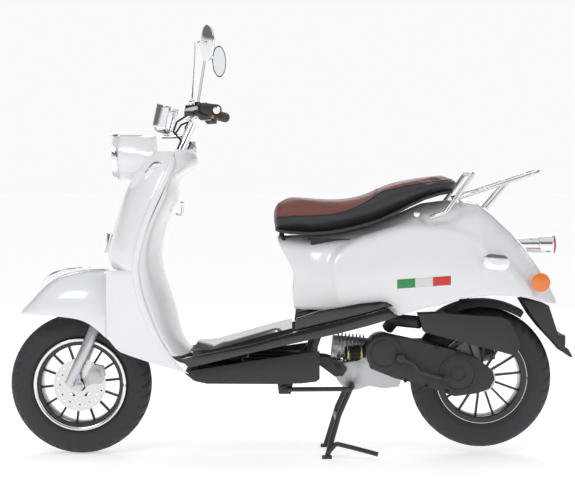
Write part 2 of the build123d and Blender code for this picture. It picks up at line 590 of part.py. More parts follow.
with BuildPart() as side_skirts:
    loft(sections=[skirt(z, edge, w) for z, edge, w in SKIRT_STATIONS])
    loft(sections=[skirt(z, edge, w, SHELL_WALL) for z, edge, w in SKIRT_STATIONS], mode=Mode.SUBTRACT)
    plate([(-580, 250), *SKIRT_LOWER_EDGE, (-290, 250)], -220, 220, mode=Mode.SUBTRACT)

with BuildPart() as shield_solid:
    loft(sections=[bow(z, crest, edge, w) for z, crest, edge, w in SHIELD_STATIONS])

with BuildPart() as leg_shield:
    add(shield_solid.part)
    with BuildSketch(Plane.YZ.offset(POD_FRONT_X)):
        with Locations((0, POD_CENTRE_Z)):
            Circle(POD_RADIUS)
    extrude(amount=110)
    loft(sections=[bow(z, crest, edge, w, SHELL_WALL) for z, crest, edge, w in SHIELD_STATIONS], mode=Mode.SUBTRACT)
    with BuildSketch(Plane.YZ.offset(POD_FRONT_X)):
        with Locations((0, POD_CENTRE_Z)):
            Circle(POD_RADIUS - SHELL_WALL)
    extrude(amount=100, mode=Mode.SUBTRACT)
    add(side_skirts.part)
save(leg_shield, "leg_shield")

INNER_STATIONS = (
    (318, -296, -350, 184), (345, -318, -369, 186), (405, -340, -405, 188), (455, -352, -429, 188), (505, -368, -443, 188),
    (550, -382, -449, 188), (610, -392, -448, 188), (671, -384, -433, 185), (726, -367, -412, 179),
    (790, -340, -383, 170), (840, -334, -363, 156), (872, -296, -352, 142), (900, -280, -347, 126), (931, -279, -345, 108))
NECK_HOLE_RADIUS = 34.0
with BuildPart() as inner_shield:
    loft(sections=[bow(z, crest, edge + PANEL_GAP, w) for z, crest, edge, w in INNER_STATIONS])
    hollow = [(z - (SHELL_WALL if z == INNER_STATIONS[-1][0] else 0), crest, edge + PANEL_GAP, w)
              for z, crest, edge, w in INNER_STATIONS]
    loft(sections=[bow(z, crest, edge, w, SHELL_WALL) for z, crest, edge, w in hollow], mode=Mode.SUBTRACT)
    cut_bore(steer_point(900), steer_point(960), NECK_HOLE_RADIUS)
save(inner_shield, "inner_shield")

# Step-through floor with its side runners, the belly pan below and the sill trims behind

RUNNER_INNER_Y = 164.0
RUNNER_OUTER_Y = 188.0
DECK_THICKNESS = 5.0
DECK_TOP = ((-290, 333), (-230, 337), (-184, 350), (-122, 367), (-46, 388), (6, 400))
RUNNER_TOP = ((-324, 310), (-265, 322), (-118, 353), (29, 394), (147, 422), (235, 444), (290, 462))
RUNNER_LOW = ((318, 437), (294, 428), (235, 410), (147, 387), (-118, 328), (-301, 284))
with BuildPart() as floorboard:
    plate([*DECK_TOP, *[(x, z - DECK_THICKNESS) for x, z in reversed(DECK_TOP)]], -RUNNER_INNER_Y, RUNNER_INNER_Y)
    for side in (-1, 1):
        runner = sorted((side * RUNNER_INNER_Y, side * RUNNER_OUTER_Y))
        plate([*RUNNER_TOP, *RUNNER_LOW], *runner)
        wall = sorted((side * (RUNNER_INNER_Y - 4), side * RUNNER_INNER_Y))
        plate([*DECK_TOP, (6, 360), (-118, 330), (-284, 296), (-290, 296)], *wall)
save(floorboard, "floorboard")

PAN_HALF_WIDTH = 150.0
PAN_WALL = 3.5
PAN_OUTLINE = ((-314, 262), (-285, 240), (-249, 232), (-45, 231), (33, 233), (77, 238), (88, 246), (88, 330),
               (-118, 300), (-314, 268))
with BuildPart() as belly_pan:
    plate(PAN_OUTLINE, -PAN_HALF_WIDTH, PAN_HALF_WIDTH)
    plate([(-300, 272), (-283, 240 + PAN_WALL), (-249, 232 + PAN_WALL), (33, 233 + PAN_WALL), (100, 240 + PAN_WALL),
           (100, 400), (-300, 400)], PAN_WALL - PAN_HALF_WIDTH, PAN_HALF_WIDTH - PAN_WALL, mode=Mode.SUBTRACT)
    block((-52, SIDE_STAND_Y + 4, 220), (26, SIDE_STAND_Y + 18, 262), mode=Mode.SUBTRACT)
save(belly_pan, "belly_pan")

TRIM_INNER_Y = 160.0
TRIM_OUTER_Y = 174.0
with BuildPart() as tail_trim:
    for side in (-1, 1):
        trim = sorted((side * TRIM_INNER_Y, side * TRIM_OUTER_Y))
        plate([(18, 430), (89, 453), (148, 463), (207, 474), (266, 480), (286, 478), (300, 470), (306, 466.5),
               (290, 463), (235, 445), (147, 423), (29, 395), (14, 392)], *trim)
save(tail_trim, "tail_trim")

# Rear bodywork round the seat, engine and rear wheel, open below and under the seat

BODY_FOOT_Z = 390.0
BODY_STATIONS = (
    (-42, 112, 668, 0.95), (10, 120, 671, 0.95), (80, 133, 672, 0.95), (160, 146, 681, 0.95), (240, 154, 700, 0.93),
    (320, 157, 733, 0.9), (400, 158, 768, 0.8), (460, 158, 776, 0.7), (520, 156, 779, 0.65), (570, 152, 768, 0.62),
    (620, 143, 728, 0.6), (680, 126, 672, 0.6), (735, 104, 606, 0.6), (780, 80, 540, 0.6), (812, 52, 480, 0.6))
BODY_FRONT = ((-37, 651), (-21, 622), (-6, 594), (6, 570), (11, 555), (9, 518), (6, 497), (9, 472), (15, 444))
BODY_LOWER = ((160, 450), (300, 448), (323, 430), (387, 450), (446, 462), (506, 480), (595, 491), (684, 488),
              (758, 473), (806, 462), (840, 470))
SEAT_LOCK_X = 377.0
SEAT_LOCK_Z = 739.0
SEAT_LOCK_RADIUS = 9.0
with BuildPart() as body_hollow:
    inner_stations = [list(station) for station in BODY_STATIONS]
    inner_stations[-1][0] -= SHELL_WALL + 1
    loft(sections=[arch(x, w, BODY_FOOT_Z, top, SHELL_WALL, crown) for x, w, top, crown in inner_stations])
    plate([*[(x + SHELL_WALL, z) for x, z in BODY_FRONT], (20, 300), (840, 300), (840, 800), (-34, 800)],
          -200, 200, mode=Mode.INTERSECT)
with BuildPart() as body_solid:
    loft(sections=[arch(x, w, BODY_FOOT_Z, top, 0, crown) for x, w, top, crown in BODY_STATIONS])
with BuildPart() as rear_body:
    add(body_solid.part)
    plate([*BODY_FRONT, *BODY_LOWER, (840, 800), (-37, 800)], -200, 200, mode=Mode.INTERSECT)
    add(body_hollow.part, mode=Mode.SUBTRACT)
    block((45, -90, 600), (430, 90, 800), mode=Mode.SUBTRACT)
    block((-45, -62, 655), (-6, 62, 690), mode=Mode.SUBTRACT)
    boss(SEAT_LOCK_X, SEAT_LOCK_Z, SEAT_LOCK_RADIUS + 0.5, -170, -80, mode=Mode.SUBTRACT)
save(rear_body, "rear_body")

with BuildPart() as seat_lock:
    boss(SEAT_LOCK_X, SEAT_LOCK_Z, SEAT_LOCK_RADIUS, -134, -104)
save(seat_lock, "seat_lock")

# Swinging engine unit: crankcase with cylinder and rear axle, belt drive, air box, exhaust and tyre hugger

CRANK_X = 281.0
CRANK_Z = 320.0
CLUTCH_X = 503.0
CLUTCH_Z = 261.0
CASE_INNER_Y = -60.0
CASE_FACE_Y = -132.0
CASE_WALL = 4.0
CASE_OUTLINE = ((226, 338), (246, 368), (281, 379), (388, 356), (484, 332), (567, 302), (606, 268), (612, 243),
                (598, 216), (561, 201), (493, 192), (388, 228), (314, 246), (240, 276))
CASE_HOLLOW = ((231, 337), (250, 363), (282, 374), (388, 351), (483, 327), (564, 298), (601, 266), (607, 243),
               (595, 220), (560, 206), (494, 198), (389, 233), (316, 251), (244, 280))
STAND_PIVOT_X = 186.0
STAND_PIVOT_Z = 215.0
STAND_TUBE_RADIUS = 9.0
SHAFT_RADIUS = 8.0
KICK_X = 329.0
KICK_Z = 309.0
KICK_SHAFT_RADIUS = 6.0
ARM_INNER_Y = 56.0
ARM_OUTER_Y = 63.0
CYLINDER_RADIUS = 34.0
FIN_RADIUS = 43.0
with BuildPart() as crankcase:
    plate([(134, 272), (150, 281), (211, 290), (250, 330), (330, 340), (345, 300), (337, 225), (331, 210), (286, 204),
           (241, 212), (202, 200), (170, 200), (145, 228), (133, 250)], -46, 46)
    boss(CRANK_X, CRANK_Z, 50, CASE_INNER_Y + 2, 50)
    plate([(240, 280), (330, 350), (484, 326), (600, 262), (606, 240), (590, 214), (560, 206), (494, 200), (389, 234),
           (316, 230)], CASE_INNER_Y + 1, -50)
    boss(REAR_AXLE_X, REAR_AXLE_Z, 40, CASE_INNER_Y + 1, REAR_HUB_LEFT - 1)
    boss(REAR_AXLE_X, REAR_AXLE_Z, REAR_AXLE_RADIUS, CASE_INNER_Y + 1, ARM_OUTER_Y + 8)
    boss(REAR_AXLE_X, REAR_AXLE_Z, 13, REAR_HUB_RIGHT + 1, ARM_INNER_Y)
    plate([(285, 300), (300, 345), (548, 352), (580, 352), (600, 240), (584, 216), (566, 226), (400, 268)],
          ARM_INNER_Y, ARM_OUTER_Y)
    plate([(262, 285), (262, 350), (322, 350), (322, 285)], 46, ARM_OUTER_Y)
    boss(SHOCK_FOOT_X, SHOCK_FOOT_Z, SHOCK_PIN_RADIUS, ARM_OUTER_Y - 2, SHOCK_Y + 14)
    boss(CRANK_X, CRANK_Z, SHAFT_RADIUS, -118, CASE_INNER_Y + 4)
    boss(CLUTCH_X, CLUTCH_Z, SHAFT_RADIUS, -118, CASE_INNER_Y + 4)
    bar([(255, 0, 318), (128, 0, 330)], CYLINDER_RADIUS)
    for fin in range(8):
        fin_x = 224 - 11 * fin
        bar([(fin_x, 0, 321 + fin), (fin_x - 3.5, 0, 321.3 + fin)], FIN_RADIUS)
    boss(STAND_PIVOT_X, STAND_PIVOT_Z, STAND_TUBE_RADIUS + 8, -46, 46)
    boss(CRANK_X, CRANK_Z, 46, 50, 88)
    boss(STAND_PIVOT_X, STAND_PIVOT_Z, STAND_TUBE_RADIUS + RUNNING_CLEARANCE, -50, 50, mode=Mode.SUBTRACT)
    boss(ENGINE_PIVOT_X, ENGINE_PIVOT_Z, ENGINE_PIN_RADIUS + RUNNING_CLEARANCE, -50, 50, mode=Mode.SUBTRACT)
save(crankcase, "crankcase")

with BuildPart() as cvt_cover:
    plate(CASE_OUTLINE, CASE_FACE_Y, CASE_INNER_Y)
    boss(CRANK_X, CRANK_Z, 54, CASE_FACE_Y - 8, CASE_FACE_Y)
    boss(CLUTCH_X, CLUTCH_Z, 56, CASE_FACE_Y - 9, CASE_FACE_Y)
    plate(CASE_HOLLOW, CASE_FACE_Y + CASE_WALL, CASE_INNER_Y + 1, mode=Mode.SUBTRACT)
    boss(KICK_X, KICK_Z, KICK_SHAFT_RADIUS + RUNNING_CLEARANCE, -160, CASE_FACE_Y + CASE_WALL + 1, mode=Mode.SUBTRACT)
save(cvt_cover, "cvt_cover")

SHEAVE_GAP = 15.0
BELT_WIDTH = 14.0
BELT_THICKNESS = 8.0
DRIVE_Y = -92.0
VARIATOR_RADIUS = 44.0
CLUTCH_RADIUS = 50.0
VARIATOR_BELT_RADIUS = 34.0
CLUTCH_BELT_RADIUS = 38.0


def add_pulley(x, z, radius, core_radius):
    """Two facing sheaves on one core, bored for their shaft."""
    half_gap = SHEAVE_GAP / 2
    boss(x, z, radius, DRIVE_Y - half_gap - 10, DRIVE_Y - half_gap)
    boss(x, z, radius, DRIVE_Y + half_gap, DRIVE_Y + half_gap + 9)
    boss(x, z, core_radius, DRIVE_Y - half_gap - 1, DRIVE_Y + half_gap + 1)
    boss(x, z, SHAFT_RADIUS + RUNNING_CLEARANCE, DRIVE_Y - 40, DRIVE_Y + 40, mode=Mode.SUBTRACT)


with BuildPart() as variator:
    add_pulley(CRANK_X, CRANK_Z, VARIATOR_RADIUS, VARIATOR_BELT_RADIUS - 2)
save(variator, "variator")

with BuildPart() as clutch_pulley:
    add_pulley(CLUTCH_X, CLUTCH_Z, CLUTCH_RADIUS, CLUTCH_BELT_RADIUS - 2)
save(clutch_pulley, "clutch_pulley")

with BuildPart() as drive_belt:
    for extra, mode in ((BELT_THICKNESS, Mode.ADD), (0.0, Mode.SUBTRACT)):
        with BuildSketch(Plane.XZ.offset(-DRIVE_Y - BELT_WIDTH / 2 - (0 if extra else 1)), mode=Mode.PRIVATE) as loop:
            with Locations((CRANK_X, CRANK_Z)):
                Circle(VARIATOR_BELT_RADIUS + extra)
            with Locations((CLUTCH_X, CLUTCH_Z)):
                Circle(CLUTCH_BELT_RADIUS + extra)
            make_hull()
        extrude(loop.sketch, amount=BELT_WIDTH + (0 if extra else 2), mode=mode)
save(drive_belt, "drive_belt")

KICK_ARM_Y = -153.0
with BuildPart() as kick_lever:
    boss(KICK_X, KICK_Z, KICK_SHAFT_RADIUS, KICK_ARM_Y, CASE_FACE_Y + CASE_WALL + 4)
    boss(KICK_X, KICK_Z, 12, KICK_ARM_Y - 6, CASE_FACE_Y - 10)
    bar([(KICK_X, KICK_ARM_Y, KICK_Z), (368, KICK_ARM_Y, 292), (384, KICK_ARM_Y, 270), (463, KICK_ARM_Y, 247)], 6, bend=12)
    bar([(461, KICK_ARM_Y + 4, 248), (461, KICK_ARM_Y - 42, 254)], 8)
save(kick_lever, "kick_lever")

AIRBOX_INNER_Y = -74.0
AIRBOX_OUTER_Y = -144.0
with BuildPart() as airbox:
    plate([(382, 440), (449, 443), (539, 436), (628, 430), (652, 421), (670, 391), (688, 348), (673, 314), (628, 327),
           (569, 341), (494, 361), (449, 373), (400, 386)], AIRBOX_OUTER_Y, AIRBOX_INNER_Y)
    bar([(300, 0, 385), (318, -22, 412), (345, -80, 414), (390, -106, 412)], 19, bend=28)
save(airbox, "airbox")

MUFFLER_RADIUS = 42.0
MUFFLER_Y = 153.0
with BuildPart() as exhaust:
    bar([(188, 47, 308), (190, 84, 292), (245, 114, 262), (330, 142, 240), (392, MUFFLER_Y, 260)], 12, bend=18)
    bar([(384, MUFFLER_Y, 258), (640, MUFFLER_Y, 312)], MUFFLER_RADIUS)
    bar([(636, MUFFLER_Y, 311), (664, MUFFLER_Y, 317)], 10)
    cut_bore((388, MUFFLER_Y, 259), (636, MUFFLER_Y, 311), MUFFLER_RADIUS - 2)
    cut_bore((630, MUFFLER_Y, 310), (670, MUFFLER_Y, 318), 7)
save(exhaust, "exhaust")

HUGGER_RADIUS = 238.0
HUGGER_HALF_WIDTH = 56.0
HUGGER_START_DEG = 58.0
HUGGER_SWEEP_DEG = 66.0
start = math.radians(HUGGER_START_DEG)
with BuildPart() as hugger:
    hugger_plane = Plane(origin=(REAR_AXLE_X, 0, REAR_AXLE_Z), x_dir=(math.cos(start), 0, math.sin(start)),
                         z_dir=(-math.sin(start), 0, math.cos(start)))
    with BuildSketch(hugger_plane):
        with BuildLine():
            Polyline((HUGGER_RADIUS - 20, -HUGGER_HALF_WIDTH), (HUGGER_RADIUS, -HUGGER_HALF_WIDTH + 6),
                     (HUGGER_RADIUS + 4, 0), (HUGGER_RADIUS, HUGGER_HALF_WIDTH - 6), (HUGGER_RADIUS - 20, HUGGER_HALF_WIDTH),
                     (HUGGER_RADIUS - 20, HUGGER_HALF_WIDTH - 3), (HUGGER_RADIUS - 4, HUGGER_HALF_WIDTH - 9),
                     (HUGGER_RADIUS, 0), (HUGGER_RADIUS - 4, 9 - HUGGER_HALF_WIDTH),
                     (HUGGER_RADIUS - 20, 3 - HUGGER_HALF_WIDTH), close=True)
        make_face()
    revolve(axis=Axis((REAR_AXLE_X, 0, REAR_AXLE_Z), (0, -1, 0)), revolution_arc=HUGGER_SWEEP_DEG)
save(hugger, "hugger")

# Stands

with BuildPart() as centre_stand:
    boss(STAND_PIVOT_X, STAND_PIVOT_Z, STAND_TUBE_RADIUS, -88, 88)
    for side in (-1, 1):
        bar([(STAND_PIVOT_X, side * 80, STAND_PIVOT_Z), (148, side * 88, 130), (112, side * 104, 6)], 8, bend=30)
        foot = sorted((side * 95, side * 117))
        block((96, foot[0], 0), (126, foot[1], 9))
    bar([(142, -90, 112), (142, 90, 112)], 7)
    bar([(112, -104, 14), (138, -112, 46), (186, -122, 36), (264, -128, 16)], 7, bend=12)
save(centre_stand, "centre_stand")

with BuildPart() as side_stand:
    boss(SIDE_STAND_X, SIDE_STAND_Z, 12, SIDE_STAND_Y - 6, SIDE_STAND_Y + 7)
    bar([(SIDE_STAND_X, SIDE_STAND_Y - 1, SIDE_STAND_Z), (SIDE_STAND_X + 205, SIDE_STAND_Y - 4, SIDE_STAND_Z + 2)], 7)
    boss(SIDE_STAND_X, SIDE_STAND_Z, STAND_PIN_RADIUS + RUNNING_CLEARANCE, -140, -90, mode=Mode.SUBTRACT)
save(side_stand, "side_stand")

# Rear shock absorber: damper body on the frame, rod on the engine arm, coil spring between its seats

shock_run = (SHOCK_FOOT_X - SHOCK_TOP_X, SHOCK_FOOT_Z - SHOCK_TOP_Z)
shock_length = math.hypot(*shock_run)
SHOCK_EYE_CLEARANCE = 2.0
SPRING_TURNS = 9


def shock_point(distance):
    """A point on the shock's own line, this far below its top eye."""
    share = distance / shock_length
    return (SHOCK_TOP_X + share * shock_run[0], SHOCK_Y, SHOCK_TOP_Z + share * shock_run[1])


with BuildPart() as shock_body:
    boss(SHOCK_TOP_X, SHOCK_TOP_Z, 12, SHOCK_Y - 10, SHOCK_Y + 10)
    bar([shock_point(5), shock_point(165)], 13)
    bar([shock_point(28), shock_point(35)], 24)
    cut_bore(shock_point(34), shock_point(170), 6 + RUNNING_CLEARANCE)
    boss(SHOCK_TOP_X, SHOCK_TOP_Z, SHOCK_PIN_RADIUS + RUNNING_CLEARANCE, SHOCK_Y - 14, SHOCK_Y + 14, mode=Mode.SUBTRACT)
save(shock_body, "shock_body")

with BuildPart() as shock_rod:
    bar([shock_point(100), shock_point(shock_length - 8)], 6)
    bar([shock_point(252), shock_point(259)], 24)
    boss(SHOCK_FOOT_X, SHOCK_FOOT_Z, 14, SHOCK_Y - 10, SHOCK_Y + 10)
    boss(SHOCK_FOOT_X, SHOCK_FOOT_Z, SHOCK_PIN_RADIUS + SHOCK_EYE_CLEARANCE, SHOCK_Y - 14, SHOCK_Y + 14,
         mode=Mode.SUBTRACT)
save(shock_rod, "shock_rod")

with BuildPart() as shock_spring:
    for turn in range(SPRING_TURNS):
        ring_centre = shock_point(42 + turn * (243 - 42) / (SPRING_TURNS - 1))
        with Locations(Plane(origin=ring_centre, z_dir=(shock_run[0], 0, shock_run[1]))):
            Torus(19, 3.2)
save(shock_spring, "shock_spring")

# Seat: a moulded base hinged at the front and a padded cushion in one with its cover

SEAT_UNDERSIDE = ((-50, 686), (-30, 681), (0, 677), (60, 674), (119, 678), (179, 689), (224, 701), (269, 715),
                  (314, 736), (358, 759), (403, 780), (448, 793), (490, 801))
SEAT_TOP = ((500, 812), (519, 827), (511, 854), (474, 856), (428, 852), (382, 845), (337, 838), (306, 832), (285, 824),
            (260, 807), (230, 795), (199, 786), (168, 781), (122, 780), (76, 784), (31, 790), (-31, 793), (-43, 782),
            (-52, 745), (-56, 700))
SEAT_PLAN = ((-57, 66), (-40, 98), (20, 116), (120, 127), (300, 133), (430, 130), (490, 104), (520, 66))
BASE_THICKNESS = 9.0
BASE_INSET = 12.0


def seat_plan(inset=0.0):
    """The seat's outline seen from above, the same on both sides."""
    with BuildSketch(Plane.XY.offset(600), mode=Mode.PRIVATE) as plan:
        with BuildLine():
            right = [(x + (inset if x < 0 else -inset), y - inset) for x, y in SEAT_PLAN]
            Polyline(*right, *[(x, -y) for x, y in reversed(right)], close=True)
        make_face()
    return plan.sketch


with BuildPart() as seat_base:
    underside = SEAT_UNDERSIDE
    plate([*underside, *[(x, z + BASE_THICKNESS) for x, z in reversed(underside)]], -140, 140)
    extrude(seat_plan(BASE_INSET), amount=300, mode=Mode.INTERSECT)
    for side in (-1, 1):
        ear = sorted((side * 22, side * 36))
        boss(SEAT_HINGE_X, SEAT_HINGE_Z, 8, *ear)
        block((SEAT_HINGE_X - 7, ear[0], SEAT_HINGE_Z), (SEAT_HINGE_X + 7, ear[1], SEAT_HINGE_Z + 14))
    boss(SEAT_HINGE_X, SEAT_HINGE_Z, SEAT_PIN_RADIUS + RUNNING_CLEARANCE, -40, 40, mode=Mode.SUBTRACT)
save(seat_base, "seat_base")

with BuildPart() as seat_cushion:
    plate([*[(x, z + BASE_THICKNESS) for x, z in SEAT_UNDERSIDE], *SEAT_TOP], -140, 140)
    extrude(seat_plan(), amount=300, mode=Mode.INTERSECT)
save(seat_cushion, "seat_cushion")

BUCKET_WALL = 3.0
BUCKET_LOW = (62, -78, 508)
BUCKET_HIGH = (258, 78, 662)
with BuildPart() as storage_bucket:
    block(BUCKET_LOW, BUCKET_HIGH)
    block((BUCKET_LOW[0] - 8, -86, BUCKET_HIGH[2] - 3), (BUCKET_HIGH[0] + 8, 86, BUCKET_HIGH[2]))
    block([c + BUCKET_WALL for c in BUCKET_LOW], (BUCKET_HIGH[0] - BUCKET_WALL, 78 - BUCKET_WALL, 700), mode=Mode.SUBTRACT)
save(storage_bucket, "storage_bucket")

with BuildPart() as fuel_tank:
    plate([(288, 596), (470, 596), (470, 704), (440, 706), (288, 690)], -76, 76)
    with BuildSketch(Plane.XY.offset(695)):
        with Locations((380, 0)):
            Circle(26)
    extrude(amount=26)
save(fuel_tank, "fuel_tank")

# Lights: headlight in the shield's pod, indicators on shield and tail, tail light, reflectors

LENS_RADIUS = 59.5
with BuildPart() as headlight_bezel:
    with BuildSketch(Plane.YZ.offset(POD_FRONT_X - 17)):
        with Locations((0, POD_CENTRE_Z)):
            Circle(POD_RADIUS + 2)
            Circle(LENS_RADIUS + 0.3, mode=Mode.SUBTRACT)
    extrude(amount=16.7)
    plate([(-552, 974), (-521, 978), (-521, 972), (-537, 968)], -34, 34)
save(headlight_bezel, "headlight_bezel")

with BuildPart() as headlight_lens:
    with BuildSketch(Plane(origin=(-524, 0, POD_CENTRE_Z), x_dir=(0, 0, 1), z_dir=(0, 1, 0))):
        with BuildLine():
            Polyline((0, 0), (LENS_RADIUS, 0), (LENS_RADIUS, -5), (45, -12), (25, -17), (0, -19), close=True)
        make_face()
    revolve(axis=Axis((-524, 0, POD_CENTRE_Z), (1, 0, 0)))
save(headlight_lens, "headlight_lens")

FRONT_LAMP = (-407, 865)
REAR_LAMP = (612, 596)
with BuildPart() as indicators:
    for (lamp_x, lamp_z), turn, length, height, depths in (
            (FRONT_LAMP, 52, 66, 36, (104, 136)), (REAR_LAMP, -6, 78, 46, (128, 160))):
        for side in (-1, 1):
            near, far = sorted((side * depths[0], side * depths[1]))
            with BuildSketch(Plane.XZ.offset(-far), mode=Mode.PRIVATE) as pad:
                with Locations((lamp_x, lamp_z)):
                    SlotOverall(length, height, rotation=turn)
            extrude(pad.sketch, amount=far - near)
    add(shield_solid.part, mode=Mode.SUBTRACT)
    add(body_solid.part, mode=Mode.SUBTRACT)
save(indicators, "indicators")

LAMP_Z = 641.0
with BuildPart() as taillight_housing:
    with BuildSketch(Plane(origin=(690, 0, LAMP_Z), x_dir=(1, 0, 0), z_dir=(0, -1, 0))):
        with BuildLine():
            Polyline((0, 0), (0, 22), (36, 23), (69, 25), (70, 29), (114, 28), (114, 0), close=True)
        make_face()
    revolve(axis=Axis((690, 0, LAMP_Z), (1, 0, 0)))
    add(body_solid.part, mode=Mode.SUBTRACT)
save(taillight_housing, "taillight_housing")

with BuildPart() as taillight_lens:
    with BuildSketch(Plane(origin=(804.3, 0, LAMP_Z), x_dir=(1, 0, 0), z_dir=(0, -1, 0))):
        with BuildLine():
            Polyline((0, 0), (0, 28), (5, 27), (8, 20), (10, 0), close=True)
        make_face()
    revolve(axis=Axis((804.3, 0, LAMP_Z), (1, 0, 0)))
save(taillight_lens, "taillight_lens")

REFLECTOR_X = 753.0
REFLECTOR_Z = 532.0
with BuildPart() as reflectors:
    for side in (-1, 1):
        face = sorted((side * 98, side * 107))
        boss(REFLECTOR_X, REFLECTOR_Z, 28, *face)
        stalk = sorted((side * 82, side * 98))
        boss(REFLECTOR_X, REFLECTOR_Z - 4, 8, *stalk)
    block((834, -24, 335), (842, 24, 365))
    add(body_solid.part, mode=Mode.SUBTRACT)
save(reflectors, "reflectors")

FLAP_HALF_WIDTH = 70.0
with BuildPart() as mudflap:
    plate([(705, 474), (720, 476), (782, 460), (786, 451), (799, 411), (814, 368), (833, 368), (833, 334), (843, 328),
           (856.5, 304), (850, 302), (832, 313), (802, 347), (765, 386), (734, 426)], -FLAP_HALF_WIDTH, FLAP_HALF_WIDTH)
    plate([(690, 500), (779, 455), (793, 409), (808, 366), (826, 345), (848, 308), (840, 290), (700, 290), (690, 400)],
          4 - FLAP_HALF_WIDTH, FLAP_HALF_WIDTH - 4, mode=Mode.SUBTRACT)
save(mudflap, "mudflap")

# Grab rail and luggage rack: bent bright tubes

RACK_Y = 72.0
with BuildPart() as luggage_rack:
    bar([(500, -RACK_Y, 783), (752, -RACK_Y, 865), (752, RACK_Y, 865), (500, RACK_Y, 783)], 6, bend=35)
    bar([(520, -RACK_Y, 783 + 6.5), (520, RACK_Y, 783 + 6.5)], 5)
    for share in (0.4, 0.62, 0.84):
        bar_x = 500 + share * 252
        bar_z = 783 + share * 82
        bar([(bar_x, -RACK_Y, bar_z), (bar_x, RACK_Y, bar_z)], 4)
    for side in (-1, 1):
        bar([(594, side * 50, 753), (664, side * 50, 835)], 5)
        bar([(664, side * 46, 836), (664, side * RACK_Y, 836)], 4)
        bar([(420, side * 119, 727), (463, side * 127, 742), (546, side * 106, 856)], 7, bend=20)
    bar([(546, -106, 856), (546, 106, 856)], 7)
    add(body_solid.part, mode=Mode.SUBTRACT)
save(luggage_rack, "luggage_rack")

# Small fittings on the chassis

with BuildPart() as front_trims:
    plate([(-764, 508), (-757, 526), (-748, 541), (-725, 557), (-695, 567), (-655, 572), (-616, 574), (-603, 572),
           (-640, 569), (-690, 559), (-728, 543)], -13, 13)
    plate([(-549, 676), (-562, 676), (-572, 618), (-560, 618)], -22, 22)
save(front_trims, "front_trims")

KEY_X = -300.0
KEY_Y = 58.0
CAP_TOP_Z = 931.0
with BuildPart() as ignition_key:
    with BuildSketch(Plane.XY.offset(CAP_TOP_Z + 0.3)):
        with Locations((KEY_X, KEY_Y)):
            Circle(11)
    extrude(amount=10)
    block((KEY_X - 8, KEY_Y - 1.5, CAP_TOP_Z + 8), (KEY_X + 8, KEY_Y + 1.5, CAP_TOP_Z + 26))
save(ignition_key, "ignition_key")

HOOK_X = -331.0
HOOK_Z = 768.0
with BuildPart() as bag_hook:
    bar([(HOOK_X, 0, HOOK_Z), (HOOK_X + 2, 0, 738), (HOOK_X - 10, 0, 729), (HOOK_X - 18, 0, 738)], 4, bend=4)
    boss(HOOK_X, HOOK_Z, 6, -12, 12)
save(bag_hook, "bag_hook")
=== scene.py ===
import math
import bpy
import bmesh
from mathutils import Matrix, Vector


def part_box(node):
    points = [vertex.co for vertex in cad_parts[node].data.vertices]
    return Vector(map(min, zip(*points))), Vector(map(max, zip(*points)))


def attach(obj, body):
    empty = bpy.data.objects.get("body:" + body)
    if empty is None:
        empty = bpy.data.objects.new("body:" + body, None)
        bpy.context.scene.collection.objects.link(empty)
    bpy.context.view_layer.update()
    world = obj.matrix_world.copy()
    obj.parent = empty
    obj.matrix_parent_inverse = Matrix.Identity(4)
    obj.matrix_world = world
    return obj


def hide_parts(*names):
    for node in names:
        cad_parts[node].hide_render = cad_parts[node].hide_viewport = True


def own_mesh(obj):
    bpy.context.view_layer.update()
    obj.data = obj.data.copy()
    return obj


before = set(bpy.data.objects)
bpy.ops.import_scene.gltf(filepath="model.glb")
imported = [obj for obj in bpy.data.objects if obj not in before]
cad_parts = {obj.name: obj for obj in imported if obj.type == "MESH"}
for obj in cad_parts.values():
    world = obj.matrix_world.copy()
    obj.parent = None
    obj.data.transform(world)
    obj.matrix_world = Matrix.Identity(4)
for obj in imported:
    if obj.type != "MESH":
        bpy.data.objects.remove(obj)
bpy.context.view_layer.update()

# The studio: a wide pale floor that glows a little, under three large soft lights. The air is white at the
# horizon with a dark band above it, so that the chrome has something dark to reflect from every side.

FLOOR_COLOUR = (0.80, 0.80, 0.80)
FLOOR_GLOW = 0.52
FLOOR_REACH = 60.0
CAMERA_DISTANCE = 5.0
CAMERA_HEIGHT = 0.865
CAMERA_AIM_HEIGHT = 0.62
CAMERA_ALONG = -0.008
CAMERA_LENS = 102.3


